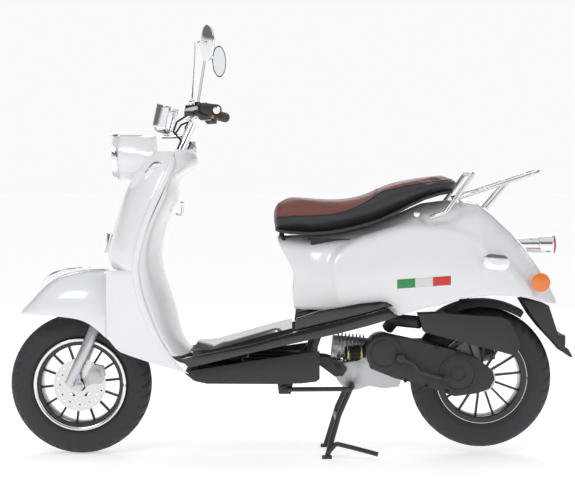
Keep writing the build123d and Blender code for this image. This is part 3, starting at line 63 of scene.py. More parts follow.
def finish(name, colour, roughness, metallic=0.0, grain=900.0, relief=0.02, shading=0.05, coat=0.0):
    """A surface whose colour and gloss vary a little over it, with a fine relief at the grain's scale."""
    material = bpy.data.materials.new(name)
    material.use_nodes = True
    nodes = material.node_tree.nodes
    links = material.node_tree.links
    surface = nodes["Principled BSDF"]
    surface.inputs["Metallic"].default_value = metallic
    surface.inputs["Coat Weight"].default_value = coat
    surface.inputs["Coat Roughness"].default_value = 0.06
    place = nodes.new("ShaderNodeTexCoord")
    clouds = nodes.new("ShaderNodeTexNoise")
    clouds.inputs["Scale"].default_value = 9.0
    clouds.inputs["Detail"].default_value = 6.0
    links.new(place.outputs["Object"], clouds.inputs["Vector"])
    tint = nodes.new("ShaderNodeMix")
    tint.data_type = "RGBA"
    tint.inputs["A"].default_value = (*[c * (1 - shading) for c in colour], 1)
    tint.inputs["B"].default_value = (*[min(1.0, c * (1 + shading)) for c in colour], 1)
    links.new(clouds.outputs["Fac"], tint.inputs["Factor"])
    links.new(tint.outputs["Result"], surface.inputs["Base Color"])
    gloss = nodes.new("ShaderNodeMapRange")
    gloss.inputs["To Min"].default_value = roughness * 0.8
    gloss.inputs["To Max"].default_value = min(1.0, roughness * 1.2)
    links.new(clouds.outputs["Fac"], gloss.inputs["Value"])
    links.new(gloss.outputs["Result"], surface.inputs["Roughness"])
    pores = nodes.new("ShaderNodeTexNoise")
    pores.inputs["Scale"].default_value = grain
    pores.inputs["Detail"].default_value = 3.0
    links.new(place.outputs["Object"], pores.inputs["Vector"])
    bump = nodes.new("ShaderNodeBump")
    bump.inputs["Strength"].default_value = relief
    bump.inputs["Distance"].default_value = 0.001
    links.new(pores.outputs["Fac"], bump.inputs["Height"])
    links.new(bump.outputs["Normal"], surface.inputs["Normal"])
    return material


floor_form = bmesh.new()
bmesh.ops.create_grid(floor_form, x_segments=4, y_segments=4, size=FLOOR_REACH)
floor_mesh = bpy.data.meshes.new("studio_floor")
floor_form.to_mesh(floor_mesh)
floor_form.free()
floor = bpy.data.objects.new("studio_floor", floor_mesh)
bpy.context.collection.objects.link(floor)
lit_floor = finish("pale_floor", FLOOR_COLOUR, 0.7, relief=0.005, shading=0.004)
lit_floor.node_tree.nodes["Principled BSDF"].inputs["Emission Color"].default_value = (1, 1, 1, 1)
lit_floor.node_tree.nodes["Principled BSDF"].inputs["Emission Strength"].default_value = FLOOR_GLOW
floor_mesh.materials.append(lit_floor)


def soft_light(name, place, aim, width, power):
    """A square soft box at place, turned to face aim."""
    light = bpy.data.lights.new(name, "AREA")
    light.shape = "SQUARE"
    light.size = width
    light.energy = power
    lamp = bpy.data.objects.new(name, light)
    bpy.context.collection.objects.link(lamp)
    lamp.location = place
    lamp.rotation_euler = (Vector(aim) - Vector(place)).to_track_quat("-Z", "Y").to_euler()


soft_light("key_light", (-2.2, -3.2, 3.6), (0, 0, 0.6), 1.6, 50)
soft_light("fill_light", (3.0, -3.0, 2.0), (0, 0, 0.6), 1.4, 12)
soft_light("back_light", (0.5, 3.4, 3.0), (0, 0, 0.6), 2.2, 45)

sky = bpy.data.worlds.new("studio_air")
bpy.context.scene.world = sky
sky.use_nodes = True
sky_nodes = sky.node_tree.nodes
sky_links = sky.node_tree.links
sky_place = sky_nodes.new("ShaderNodeTexCoord")
sky_split = sky_nodes.new("ShaderNodeSeparateXYZ")
sky_links.new(sky_place.outputs["Generated"], sky_split.inputs["Vector"])
sky_ramp = sky_nodes.new("ShaderNodeValToRGB")
sky_ramp.color_ramp.elements[0].position = 0.10
sky_ramp.color_ramp.elements[0].color = (0.96, 0.96, 0.96, 1)
sky_ramp.color_ramp.elements[1].position = 0.72
sky_ramp.color_ramp.elements[1].color = (0.75, 0.77, 0.80, 1)
for height, grey in ((0.20, 0.16), (0.50, 0.20)):
    dark_band = sky_ramp.color_ramp.elements.new(height)
    dark_band.color = (grey, grey, grey * 1.08, 1)
sky_links.new(sky_split.outputs["Z"], sky_ramp.inputs["Fac"])
sky_links.new(sky_ramp.outputs["Color"], sky_nodes["Background"].inputs["Color"])
sky_nodes["Background"].inputs["Strength"].default_value = 1.0

camera = bpy.data.objects.new("camera", bpy.data.cameras.new("camera"))
bpy.context.collection.objects.link(camera)
camera.data.lens = CAMERA_LENS
camera.data.sensor_width = 36.0
camera.location = (CAMERA_ALONG, -CAMERA_DISTANCE, CAMERA_HEIGHT)
camera_drop = math.atan2(CAMERA_HEIGHT - CAMERA_AIM_HEIGHT, CAMERA_DISTANCE)
camera.rotation_euler = (math.pi / 2 - camera_drop, 0, 0)
bpy.context.scene.camera = camera
bpy.context.scene.view_settings.view_transform = "Standard"

# The frame, stands, kick lever, exhaust and the shock absorber's body are steel, welded or pressed, and
# painted satin black. The frame carries the others on bolts and pins.

BLACK_PAINT = (0.022, 0.022, 0.024)
WELD_REACH = 0.00002
EDGE_BREAK = 0.0006
EDGE_ANGLE = math.radians(35)


def dress(material, *names):
    """Gives CAD nodes their finish, and breaks their sharp edges by 0.6 mm to catch the light."""
    for name in names:
        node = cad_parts[name]
        node.data.materials.clear()
        node.data.materials.append(material)
        join = node.modifiers.new("joined", "WELD")
        join.merge_threshold = WELD_REACH
        edge = node.modifiers.new("broken_edge", "BEVEL")
        edge.width = EDGE_BREAK
        edge.segments = 2
        edge.limit_method = "ANGLE"
        edge.angle_limit = EDGE_ANGLE
        edge.harden_normals = True
        for face in node.data.polygons:
            face.use_smooth = True


black_paint = finish("black_paint", BLACK_PAINT, 0.38, grain=1500, relief=0.06, shading=0.2, coat=0.15)
dress(black_paint, "frame", "side_stand", "centre_stand", "kick_lever", "exhaust", "shock_body")

# The belly pan, airbox, belt cover, hugger, mudflap and the parts under the seat are moulded black plastic
# with a fine spark-eroded grain, screwed to the frame and the crankcase.

MATT_BLACK = (0.028, 0.028, 0.03)
black_moulding = finish("black_moulding", MATT_BLACK, 0.55, grain=2600, relief=0.12, shading=0.15)
dress(black_moulding, "belly_pan", "airbox", "cvt_cover", "hugger", "mudflap", "seat_base", "storage_bucket",
      "fuel_tank")

# The floorboard, the trim at the tail and the switch pods are the same plastic, painted gloss black and
# fixed with clips and screws.

GLOSS_BLACK = (0.012, 0.012, 0.013)
black_gloss = finish("black_gloss", GLOSS_BLACK, 0.16, grain=300, relief=0.01, shading=0.1, coat=0.6)
dress(black_gloss, "floorboard", "tail_trim", "switch_pods")

# The bright parts are steel or die-cast zinc under polished chrome: the bezel, front trims, handlebar,
# steering stem, meter cup, mirrors and their stems, tail light housing, bag hook and seat lock.

CHROME = (0.86, 0.87, 0.89)
chrome = finish("chrome", CHROME, 0.06, metallic=1.0, grain=160, relief=0.004, shading=0.02)
dress(chrome, "headlight_bezel", "front_trims", "taillight_housing", "bag_hook", "seat_lock", "steering_stem",
      "handlebar", "speedometer", "mirror_stem_left", "mirror_stem_right", "mirror_left", "mirror_right")

# The rack, the front disc, the pulleys, the damper's rod and the key are bare or plated steel, brushed to
# a soft shine. The disc is flat, so its faces are shaded flat.

BRIGHT_STEEL = (0.72, 0.71, 0.68)
bright_steel = finish("bright_steel", BRIGHT_STEEL, 0.24, metallic=1.0, grain=700, relief=0.03, shading=0.06)
dress(bright_steel, "luggage_rack", "variator", "clutch_pulley", "shock_rod", "ignition_key")
disc_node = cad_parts["front_disc"]
disc_node.data.materials.clear()
disc_node.data.materials.append(bright_steel)
for disc_face in disc_node.data.polygons:
    disc_face.use_smooth = False

# The crankcase, brake levers, caliper and fork legs are cast aluminium, sand-rough where they aren't
# machined; the fork legs are sprayed silver.

CAST_ALLOY = (0.56, 0.57, 0.58)
cast_alloy = finish("cast_alloy", CAST_ALLOY, 0.42, metallic=0.85, grain=1100, relief=0.25, shading=0.12)
silver_paint = finish("silver_paint", (0.62, 0.63, 0.65), 0.32, metallic=0.8, grain=1800, relief=0.05,
                      coat=0.2)
dress(cast_alloy, "crankcase", "front_brake_lever", "rear_brake_lever", "brake_caliper")
dress(silver_paint, "fork_sliders")

# The wheels are one-piece aluminium castings, painted gloss black on the hub, spokes and barrel. They are
# stiff and smooth, with no fixings of their own but the axle.

rim_black = finish("rim_black", (0.02, 0.02, 0.022), 0.3, metallic=0.2, grain=900, relief=0.05, coat=0.4)
dress(rim_black, "front_rim", "rear_rim")

# The grips, the cables' outer covers and the drive belt are black rubber, the grips pulled over the bar.
# The turn switch and starter button are orange plastic, snapped into their pods.

soft_rubber = finish("soft_rubber", (0.02, 0.02, 0.021), 0.72, grain=1900, relief=0.3, shading=0.2)
orange_plastic = finish("orange_plastic", (0.85, 0.22, 0.02), 0.35, grain=900, relief=0.03)
dress(soft_rubber, "left_grip", "throttle_grip", "control_cables", "drive_belt")
dress(orange_plastic, "turn_switch", "starter_button")

# The lamps' covers and reflectors are clear, red and amber plastic, snapped on. Nothing is modelled behind
# them, so they are solid glossy colours with a fine relief.

clear_lens = finish("clear_lens", (0.80, 0.83, 0.86), 0.08, grain=220, relief=0.5, shading=0.1, coat=1.0)
red_lens = finish("red_lens", (0.42, 0.008, 0.015), 0.1, grain=260, relief=0.5, shading=0.2, coat=1.0)
amber_lens = finish("amber_lens", (0.90, 0.20, 0.015), 0.14, grain=400, relief=0.6, shading=0.15, coat=1.0)
dress(clear_lens, "headlight_lens", "indicators")
dress(red_lens, "taillight_lens")
dress(amber_lens, "reflectors")

# The body panels are ABS, sprayed gloss white and lacquered. They clip to each other along hidden tongues
# and are screwed to the frame at their lower edges.

white_lacquer = finish("white_lacquer", (0.84, 0.85, 0.86), 0.2, grain=90, relief=0.004, shading=0.012,
                       coat=0.7)
dress(white_lacquer, "front_fender", "leg_shield", "inner_shield", "rear_body")

# The tyres are black tubeless scooter tyres, seated on the rims by air. Two wavy grooves run round the
# crown, and slanted cuts drain them over both shoulders.

TYRE_WALL_CURVE = 64
BEAD_SEAT_RADIUS = 0.141
WALL_FOOT_RADIUS = 0.145
CROWN_ALLOWANCE = 0.0045
HALF_SECTION = 0.0455
WALL_RIB = 0.0009
TYRE_STEPS = 360
GROOVE_DEPTH = 0.0038
GROOVE_OFFSET = 0.011
GROOVE_WAVE = 0.0028
GROOVE_HALF_WIDTH = 0.0019
CUT_HALF_WIDTH = 0.0026
TREAD_PITCHES = 36


def tyre_profile():
    """The carcass in section: (distance from the middle, radius) for each step from bead to bead."""
    rise = cad_tyre_radius - BEAD_SEAT_RADIUS
    points = []
    for step in range(TYRE_WALL_CURVE + 1):
        turn = -math.pi / 2 + math.pi * step / TYRE_WALL_CURVE
        across = math.copysign(abs(math.sin(turn)) ** 0.86, turn) * HALF_SECTION
        up = WALL_FOOT_RADIUS + (rise - CROWN_ALLOWANCE) * max(0.0, math.cos(turn)) ** 0.62
        rib = WALL_RIB if 0.152 < up < 0.158 or 0.170 < up < 0.174 else 0.0
        points.append((across + math.copysign(rib, across), up))
    return [(-0.033, 0.129), (-0.0345, BEAD_SEAT_RADIUS), *points[1:-1], (0.0345, BEAD_SEAT_RADIUS),
            (0.033, 0.129)]


def groove(across, angle):
    """How deep the tread is cut at this place, from 0 to 1."""
    pitch = angle * TREAD_PITCHES / (2 * math.pi)
    wave = GROOVE_WAVE * math.sin(2 * math.pi * pitch)
    round_cut = min(abs(across - GROOVE_OFFSET - wave), abs(across + GROOVE_OFFSET + wave))
    side = abs(across)
    slant = (pitch * 2 - (side - 0.012) * 46 * math.copysign(1, across)) % 2.0
    side_cut = abs(slant - 1.0) * 0.009
    depth = 1.0 if round_cut < GROOVE_HALF_WIDTH else 0.0
    if 0.016 < side < 0.040 and side_cut < CUT_HALF_WIDTH:
        depth = 1.0
    return depth


def tyre(name, node, body):
    """A treaded tyre round the axle of the CAD node it stands for."""
    low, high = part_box(node)
    middle_x = (low[0] + high[0]) / 2
    middle_z = (low[2] + high[2]) / 2
    profile = tyre_profile()
    form = bmesh.new()
    rings = []
    for step in range(TYRE_STEPS):
        angle = 2 * math.pi * step / TYRE_STEPS
        ring = []
        for across, radius in profile:
            cut = radius
            if abs(across) < 0.0435 and radius > 0.185:
                cut = radius - GROOVE_DEPTH * groove(across, angle)
            spot = (middle_x + cut * math.cos(angle), across, middle_z + cut * math.sin(angle))
            ring.append(form.verts.new(spot))
        rings.append(ring)
    for step, ring in enumerate(rings):
        onward = rings[(step + 1) % TYRE_STEPS]
        for i in range(len(ring)):
            j = (i + 1) % len(ring)
            form.faces.new((ring[i], onward[i], onward[j], ring[j]))
    bmesh.ops.recalc_face_normals(form, faces=form.faces)
    mesh = bpy.data.meshes.new(name)
    form.to_mesh(mesh)
    form.free()
    for face in mesh.polygons:
        face.use_smooth = True
    piece = bpy.data.objects.new(name, mesh)
    bpy.context.collection.objects.link(piece)
    mesh.materials.append(tyre_rubber)
    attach(piece, body)
    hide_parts(node)


tyre_low, tyre_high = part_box("front_tyre")
cad_tyre_radius = (tyre_high[0] - tyre_low[0]) / 2
tyre_rubber = finish("tyre_rubber", (0.026, 0.028, 0.032), 0.6, grain=1300, relief=0.3, shading=0.25)
tyre("front_tyre_treaded", "front_tyre", "front_wheel")
tyre("rear_tyre_treaded", "rear_tyre", "rear_wheel")

# The seat is moulded foam on a plastic base, under a sewn cover: maroon vinyl over the top and the nose,
# charcoal grained vinyl down the sides, with a piped seam between them. It is stapled under the base.

# Along the seat: underside, crest and half width of the foam before its cover is pulled on
SEAT_STATIONS = (
    (-0.050, 0.696, 0.742, 0.050), (-0.044, 0.694, 0.768, 0.078), (-0.030, 0.692, 0.782, 0.092),
    (0.000, 0.690, 0.783, 0.102), (0.060, 0.687, 0.777, 0.112), (0.120, 0.690, 0.772, 0.119),
    (0.180, 0.701, 0.775, 0.122), (0.230, 0.714, 0.787, 0.124), (0.270, 0.727, 0.806, 0.125),
    (0.306, 0.743, 0.822, 0.125), (0.360, 0.768, 0.834, 0.125), (0.430, 0.799, 0.843, 0.121),
    (0.475, 0.807, 0.848, 0.106), (0.500, 0.815, 0.846, 0.080), (0.510, 0.824, 0.838, 0.052))
SEAM_LINE = (
    (-0.06, 0.690), (-0.048, 0.722), (0.0, 0.730), (0.06, 0.732), (0.119, 0.735), (0.149, 0.741),
    (0.194, 0.756), (0.239, 0.780), (0.263, 0.797), (0.284, 0.808), (0.314, 0.814), (0.358, 0.824),
    (0.418, 0.833), (0.463, 0.838), (0.52, 0.842))
SEAT_VOXEL = 0.006
SEAT_SWELL_CAP = 0.007
SEAT_RING_POINTS = 28
COVER_PRESSURE = 4.0
COVER_FRAMES = 20


def along(table, x):
    """The value at x of a table of (x, value), read by straight lines between its points."""
    for (x0, v0), (x1, v1) in zip(table, table[1:]):
        if x <= x1:
            share = max(0.0, (x - x0) / (x1 - x0))
            return v0 + (v1 - v0) * share
    return table[-1][1]


def skin(name, rings, material, closed=True, capped=True):
    """A mesh through rings of points, each ring closed or open, with its ends capped or left open."""
    form = bmesh.new()
    rows = [[form.verts.new(point) for point in ring] for ring in rings]
    count = len(rows[0])
    for row, onward in zip(rows, rows[1:]):
        for i in range(count if closed else count - 1):
            j = (i + 1) % count
            form.faces.new((row[i], onward[i], onward[j], row[j]))
    if capped:
        form.faces.new(rows[0])
        form.faces.new(rows[-1])
    bmesh.ops.recalc_face_normals(form, faces=form.faces)
    mesh = bpy.data.meshes.new(name)
    form.to_mesh(mesh)
    form.free()
    for face in mesh.polygons:
        face.use_smooth = True
    mesh.materials.append(material)
    piece = bpy.data.objects.new(name, mesh)
    bpy.context.collection.objects.link(piece)
    return piece


def apply_modifiers(piece):
    """Bakes a piece's modifiers into its own mesh."""
    depsgraph = bpy.context.evaluated_depsgraph_get()
    finished = bpy.data.meshes.new_from_object(piece.evaluated_get(depsgraph))
    piece.modifiers.clear()
    piece.data = finished
    for face in finished.polygons:
        face.use_smooth = True


def seat_ring(x, under, crest, half):
    """The foam's section at x: flat beneath, pulled in at the foot, with a full shoulder and a low crown."""
    rise = crest - under
    points = []
    for step in range(SEAT_RING_POINTS):
        turn = 2 * math.pi * step / SEAT_RING_POINTS
        side = math.copysign(abs(math.cos(turn)) ** 0.55, math.cos(turn))
        up = math.copysign(abs(math.sin(turn)) ** 0.72, math.sin(turn))
        pull = 0.93 + 0.07 * max(0.0, 1 + min(0.0, up))
        points.append((x, half * side * pull, under + rise * (0.5 + 0.5 * up)))
    return points


seat_cover = finish("seat_cover", (0.17, 0.045, 0.032), 0.48, grain=1500, relief=0.35, shading=0.12)
seat_nodes = seat_cover.node_tree.nodes
seat_links = seat_cover.node_tree.links
seat_surface = seat_nodes["Principled BSDF"]
seat_surface.inputs["Sheen Weight"].default_value = 0.15
maroon = seat_surface.inputs["Base Color"].links[0].from_socket
seat_place = seat_nodes.new("ShaderNodeTexCoord")
seat_axes = seat_nodes.new("ShaderNodeSeparateXYZ")
seat_links.new(seat_place.outputs["Object"], seat_axes.inputs["Vector"])
seam_height = seat_nodes.new("ShaderNodeFloatCurve")
seam_start = SEAM_LINE[0][0]
seam_length = SEAM_LINE[-1][0] - seam_start
along_seat = seat_nodes.new("ShaderNodeMapRange")
along_seat.inputs["From Min"].default_value = seam_start
along_seat.inputs["From Max"].default_value = seam_start + seam_length
seat_links.new(seat_axes.outputs["X"], along_seat.inputs["Value"])
seat_links.new(along_seat.outputs["Result"], seam_height.inputs["Value"])
seam_curve = seam_height.mapping.curves[0]
seam_curve.points[0].location = (0.0, SEAM_LINE[0][1])
seam_curve.points[1].location = (1.0, SEAM_LINE[-1][1])
for seam_x, seam_z in SEAM_LINE[1:-1]:
    seam_curve.points.new((seam_x - seam_start) / seam_length, seam_z)
seam_height.mapping.update()
above_seam = seat_nodes.new("ShaderNodeMath")
above_seam.operation = "GREATER_THAN"
seat_links.new(seat_axes.outputs["Z"], above_seam.inputs[0])
seat_links.new(seam_height.outputs["Value"], above_seam.inputs[1])
two_tone = seat_nodes.new("ShaderNodeMix")
two_tone.data_type = "RGBA"
two_tone.inputs["A"].default_value = (0.022, 0.022, 0.024, 1)
seat_links.new(above_seam.outputs["Value"], two_tone.inputs["Factor"])
seat_links.new(maroon, two_tone.inputs["B"])
seat_links.new(two_tone.outputs["Result"], seat_surface.inputs["Base Color"])

seat = skin("seat_cushion_covered", [seat_ring(*station) for station in SEAT_STATIONS], seat_cover)
smoothing = seat.modifiers.new("rounded", "SUBSURF")
smoothing.levels = 2
voxels = seat.modifiers.new("even_mesh", "REMESH")
voxels.mode = "VOXEL"
voxels.voxel_size = SEAT_VOXEL
apply_modifiers(seat)
foam_points = [vertex.co.copy() for vertex in seat.data.vertices]
cloth = seat.modifiers.new("pulled_cover", "CLOTH")
cloth.settings.use_pressure = True
cloth.settings.uniform_pressure_force = COVER_PRESSURE
cloth.settings.effector_weights.gravity = 0.0
for moment in range(1, COVER_FRAMES + 1):
    bpy.context.scene.frame_set(moment)
apply_modifiers(seat)
bpy.context.scene.frame_set(1)
for vertex, start in zip(seat.data.vertices, foam_points):
    move = vertex.co - start
    if move.length > SEAT_SWELL_CAP:
        vertex.co = start + move * (SEAT_SWELL_CAP / move.length)
smoothing = seat.modifiers.new("rounded", "SUBSURF")
smoothing.levels = 1
apply_modifiers(seat)
seat.data.materials.clear()
seat.data.materials.append(seat_cover)
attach(seat, "seat")
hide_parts("seat_cushion")


def cord_of(name, points, radius, material, cyclic=False):
    """A round bead or tube along points."""
    line = bpy.data.curves.new(name, "CURVE")
    line.dimensions = "3D"
    line.bevel_depth = radius
    line.bevel_resolution = 3
    line.use_fill_caps = True
    run = line.splines.new("POLY")
    run.points.add(len(points) - 1)
    for spot, point in zip(run.points, points):
        spot.co = (*point, 1)
    run.use_cyclic_u = cyclic
    line.materials.append(material)
    piece = bpy.data.objects.new(name, line)
    bpy.context.collection.objects.link(piece)
    return piece


PIPING_START = -0.040
PIPING_END = 0.500
PIPING_POINTS = 90
PIPING_RADIUS = 0.0019
piping_vinyl = finish("piping_vinyl", (0.015, 0.015, 0.016), 0.5, grain=1500, relief=0.2)
for side, hand in ((-1, "left"), (1, "right")):
    piping_points = []
    for step in range(PIPING_POINTS):
        x = PIPING_START + (PIPING_END - PIPING_START) * step / (PIPING_POINTS - 1)
        height = along(SEAM_LINE, x)
        struck, spot, _, _ = seat.ray_cast((x, side * 0.3, height), (0, -side, 0))
        if struck:
            piping_points.append(spot)
    piping = cord_of(f"seat_piping_{hand}", piping_points, PIPING_RADIUS, piping_vinyl)
    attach(piping, "seat")

# The rear body is one white-lacquered ABS shell from the seat's nose to the tail lamp, open beneath. A full
# oval swelling over the engine stands out of each side. It is screwed to the frame at its lower edge.

# Along the body: half width, crest height and the share of the width that the crest keeps
BODY_STATIONS = (
    (-0.042, 0.112, 0.668, 0.95), (0.010, 0.120, 0.671, 0.95), (0.080, 0.133, 0.672, 0.95),
    (0.160, 0.146, 0.681, 0.95), (0.240, 0.154, 0.700, 0.93), (0.320, 0.157, 0.733, 0.9),
    (0.400, 0.158, 0.768, 0.8), (0.460, 0.158, 0.776, 0.7), (0.520, 0.156, 0.779, 0.65),
    (0.570, 0.152, 0.768, 0.62), (0.620, 0.143, 0.728, 0.6), (0.680, 0.126, 0.672, 0.6),
    (0.735, 0.104, 0.606, 0.6), (0.780, 0.080, 0.540, 0.6), (0.812, 0.052, 0.480, 0.6))
BODY_FRONT_EDGE = ((0.444, 0.015), (0.472, 0.009), (0.497, 0.006), (0.518, 0.009), (0.555, 0.011),
                   (0.570, 0.006), (0.594, -0.006), (0.622, -0.021), (0.651, -0.037), (0.68, -0.042))
BODY_LOWER_EDGE = ((-0.05, 0.448), (0.300, 0.446), (0.323, 0.430), (0.387, 0.450), (0.446, 0.462),
                   (0.506, 0.480), (0.595, 0.491), (0.684, 0.488), (0.758, 0.473), (0.806, 0.462),
                   (0.84, 0.470))
# The swelling's edge seen from the side, from its lower front round over the top to its tail
SWELLING_TOP = ((0.112, 0.560), (0.122, 0.605), (0.140, 0.632), (0.178, 0.659), (0.223, 0.686),
                (0.282, 0.704), (0.356, 0.715), (0.445, 0.709), (0.490, 0.701), (0.534, 0.686),
                (0.579, 0.662), (0.623, 0.632), (0.653, 0.609), (0.683, 0.579), (0.712, 0.543),
                (0.745, 0.490))
SWELLING_FRONT = ((0.44, 0.146), (0.460, 0.140), (0.493, 0.131), (0.525, 0.122), (0.579, 0.114),
                  (0.72, 0.114))
SWELLING_HEIGHT = 0.014
SWELLING_SHOULDER = 0.015
BODY_THICKNESS = 0.0026
BODY_NOSE = -0.042
BODY_TAIL = 0.812
BODY_FOOT = 0.40
BODY_COLUMNS = 150
BODY_ROWS = 34
BODY_CURVE_STEPS = 240


def body_station(x):
    """Half width, crest height and crest share at x, by straight lines between the stations."""
    values = []
    for part in (1, 2, 3):
        values.append(along([(station[0], station[part]) for station in BODY_STATIONS], x))
    return values


def swelling(x, height):
    """How far the side stands out over the engine at this place, from 0 to 1, with a soft shoulder."""
    if x < 0.112 or x > 0.745:
        return 0.0
    inside = min(along(SWELLING_TOP, x) - height, x - along(SWELLING_FRONT, height))
    share = max(0.0, min(1.0, inside / SWELLING_SHOULDER))
    return share * share * (3 - 2 * share)


def body_ring(x):
    """One side's section of the shell at x, from the lower edge up to the crest, then down the other side."""
    half, crest, share = body_station(x)
    foot = BODY_FOOT
    shoulder = foot + (crest - foot) * 0.75
    low = along(BODY_LOWER_EDGE, x)
    curve = []
    for step in range(BODY_CURVE_STEPS + 1):
        t = step / BODY_CURVE_STEPS
        out = (1 - t) ** 3 * half + 3 * t * (1 - t) ** 2 * half + 3 * t * t * (1 - t) * half * share
        up = (1 - t) ** 3 * foot + 3 * t * (1 - t) ** 2 * shoulder
        up += 3 * t * t * (1 - t) * crest + t ** 3 * crest
        if up >= low:
            curve.append((out, up))
    side = []
    for row in range(BODY_ROWS + 1):
        out, up = curve[round((len(curve) - 1) * row / BODY_ROWS)]
        edge = along(BODY_FRONT_EDGE, up)
        ahead = x if x > 0.09 else edge + (x + 0.042) * (0.09 - edge) / 0.132
        sunk = SWELLING_HEIGHT * (1 - swelling(ahead, up)) if 0.0 < ahead < 0.79 else SWELLING_HEIGHT
        fade = max(0.0, min(1.0, (ahead + 0.042) / 0.10)) * max(0.0, min(1.0, (0.80 - ahead) / 0.08))
        side.append((ahead, max(0.0, out - sunk * fade * min(1.0, out / 0.06)), up))
    return [(a, -o, u) for a, o, u in side] + [(a, o, u) for a, o, u in reversed(side[:-1])]


body_lengths = [BODY_NOSE + (BODY_TAIL - BODY_NOSE) * step / BODY_COLUMNS for step in range(BODY_COLUMNS + 1)]
body_rings = [body_ring(x) for x in body_lengths]
body = skin("rear_body_shell", body_rings, white_lacquer, closed=False, capped=False)
even = body.modifiers.new("eased", "SMOOTH")
even.factor = 0.5
even.iterations = 3
wall = body.modifiers.new("wall", "SOLIDIFY")
wall.thickness = BODY_THICKNESS
wall.offset = -1
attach(body, "chassis")
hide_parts("rear_body")

# An adhesive film on each flank has three blocks, green, pale and red, and rises a little to the tail. It
# is laid on over the lacquer; here each block is a piece of its own.

FILM_START = (0.318, 0.517)
FILM_LENGTH = 0.160
FILM_RISE = 0.011
FILM_HEIGHT = 0.027
FILM_COLOURS = (("green", (0.02, 0.27, 0.07)), ("pale", (0.72, 0.72, 0.70)), ("red", (0.62, 0.03, 0.02)))
FILM_THICKNESS = 0.0002
FILM_LIFT = 0.0005
for order, (shade, colour) in enumerate(FILM_COLOURS):
    film_ink = finish(f"{shade}_film", colour, 0.25, grain=200, relief=0.005, coat=0.5)
    for side, hand in ((-1, "left"), (1, "right")):
        film_rings = []
        for step in range(13):
            share = (order + step / 12) / 3
            x = FILM_START[0] + FILM_LENGTH * share
            foot = FILM_START[1] + FILM_RISE * share
            ring = []
            for row in range(7):
                height = foot + FILM_HEIGHT * row / 6
                _, spot, _, _ = body.ray_cast((x, side * 0.4, height), (0, -side, 0))
                ring.append((x, spot[1] + side * FILM_LIFT, height))
            film_rings.append(ring)
        film = skin(f"{shade}_film_{hand}", film_rings, film_ink, closed=False, capped=False)
        film_wall = film.modifiers.new("film", "SOLIDIFY")
        film_wall.thickness = FILM_THICKNESS
        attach(film, "chassis")

# Each wheel is one aluminium casting, painted black. Its two outer lips are turned bright after painting,
# so each lip is a thin bright ring over the painted casting.

LIP_OUTER_RADIUS = 0.1408
LIP_INNER_RADIUS = 0.1290
LIP_STEPS = 128
LIP_THICKNESS = 0.0004
POLISHED_ALLOY = (0.80, 0.81, 0.82)
polished_alloy = finish("polished_alloy", POLISHED_ALLOY, 0.16, metallic=1.0, grain=600, relief=0.02,
                        shading=0.03)
for end in ("front", "rear"):
    wheel_low, wheel_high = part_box(f"{end}_rim")
    axle_x = (wheel_low[0] + wheel_high[0]) / 2
    axle_z = (wheel_low[2] + wheel_high[2]) / 2
    for side, hand in ((-1, "left"), (1, "right")):
        face_y = wheel_high[1] if side > 0 else wheel_low[1]
        lip_section = ((LIP_OUTER_RADIUS, face_y - side * 0.0040), (LIP_OUTER_RADIUS, face_y - side * 0.0005),
                       (LIP_OUTER_RADIUS - 0.0025, face_y - side * 0.0001),
                       (LIP_INNER_RADIUS + 0.0030, face_y - side * 0.0010),
                       (LIP_INNER_RADIUS + 0.0010, face_y - side * 0.0045),
                       (LIP_INNER_RADIUS - 0.0006, face_y - side * 0.0150),
                       (LIP_INNER_RADIUS + 0.0002, face_y - side * 0.0155))
        lip_rings = []
        for step in range(LIP_STEPS + 1):
            angle = 2 * math.pi * step / LIP_STEPS
            cos_turn = math.cos(angle)
            sin_turn = math.sin(angle)
            lip_rings.append([(axle_x + r * cos_turn, y, axle_z + r * sin_turn) for r, y in lip_section])
        lip = skin(f"{end}_rim_lip_{hand}", lip_rings, polished_alloy, closed=False, capped=False)
        lip_wall = lip.modifiers.new("turned", "SOLIDIFY")
        lip_wall.thickness = LIP_THICKNESS
        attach(lip, f"{end}_wheel")

# A rolled white bead covers the seam between the leg shield and its inner cover, from the neck down to a
# pointed tail beside the floor. It is pushed on over both panels' flanges.

BEAD_LINE = ((-0.354, 0.914), (-0.352, 0.890), (-0.362, 0.862), (-0.383, 0.815), (-0.406, 0.765),
             (-0.430, 0.705), (-0.446, 0.648), (-0.455, 0.605), (-0.456, 0.575), (-0.449, 0.520),
             (-0.431, 0.458), (-0.402, 0.390), (-0.368, 0.332), (-0.330, 0.284))
BEAD_WIDTH = 0.0100
BEAD_PROUD = 0.0055
BEAD_STEPS = 60


def sideways(height):
    """Half width of the leg shield at this height, at the seam."""
    return along(((0.266, 0.182), (0.300, 0.186), (0.377, 0.189), (0.460, 0.190), (0.610, 0.190),
                  (0.671, 0.187), (0.747, 0.180), (0.827, 0.166), (0.880, 0.146), (0.925, 0.112)), height)


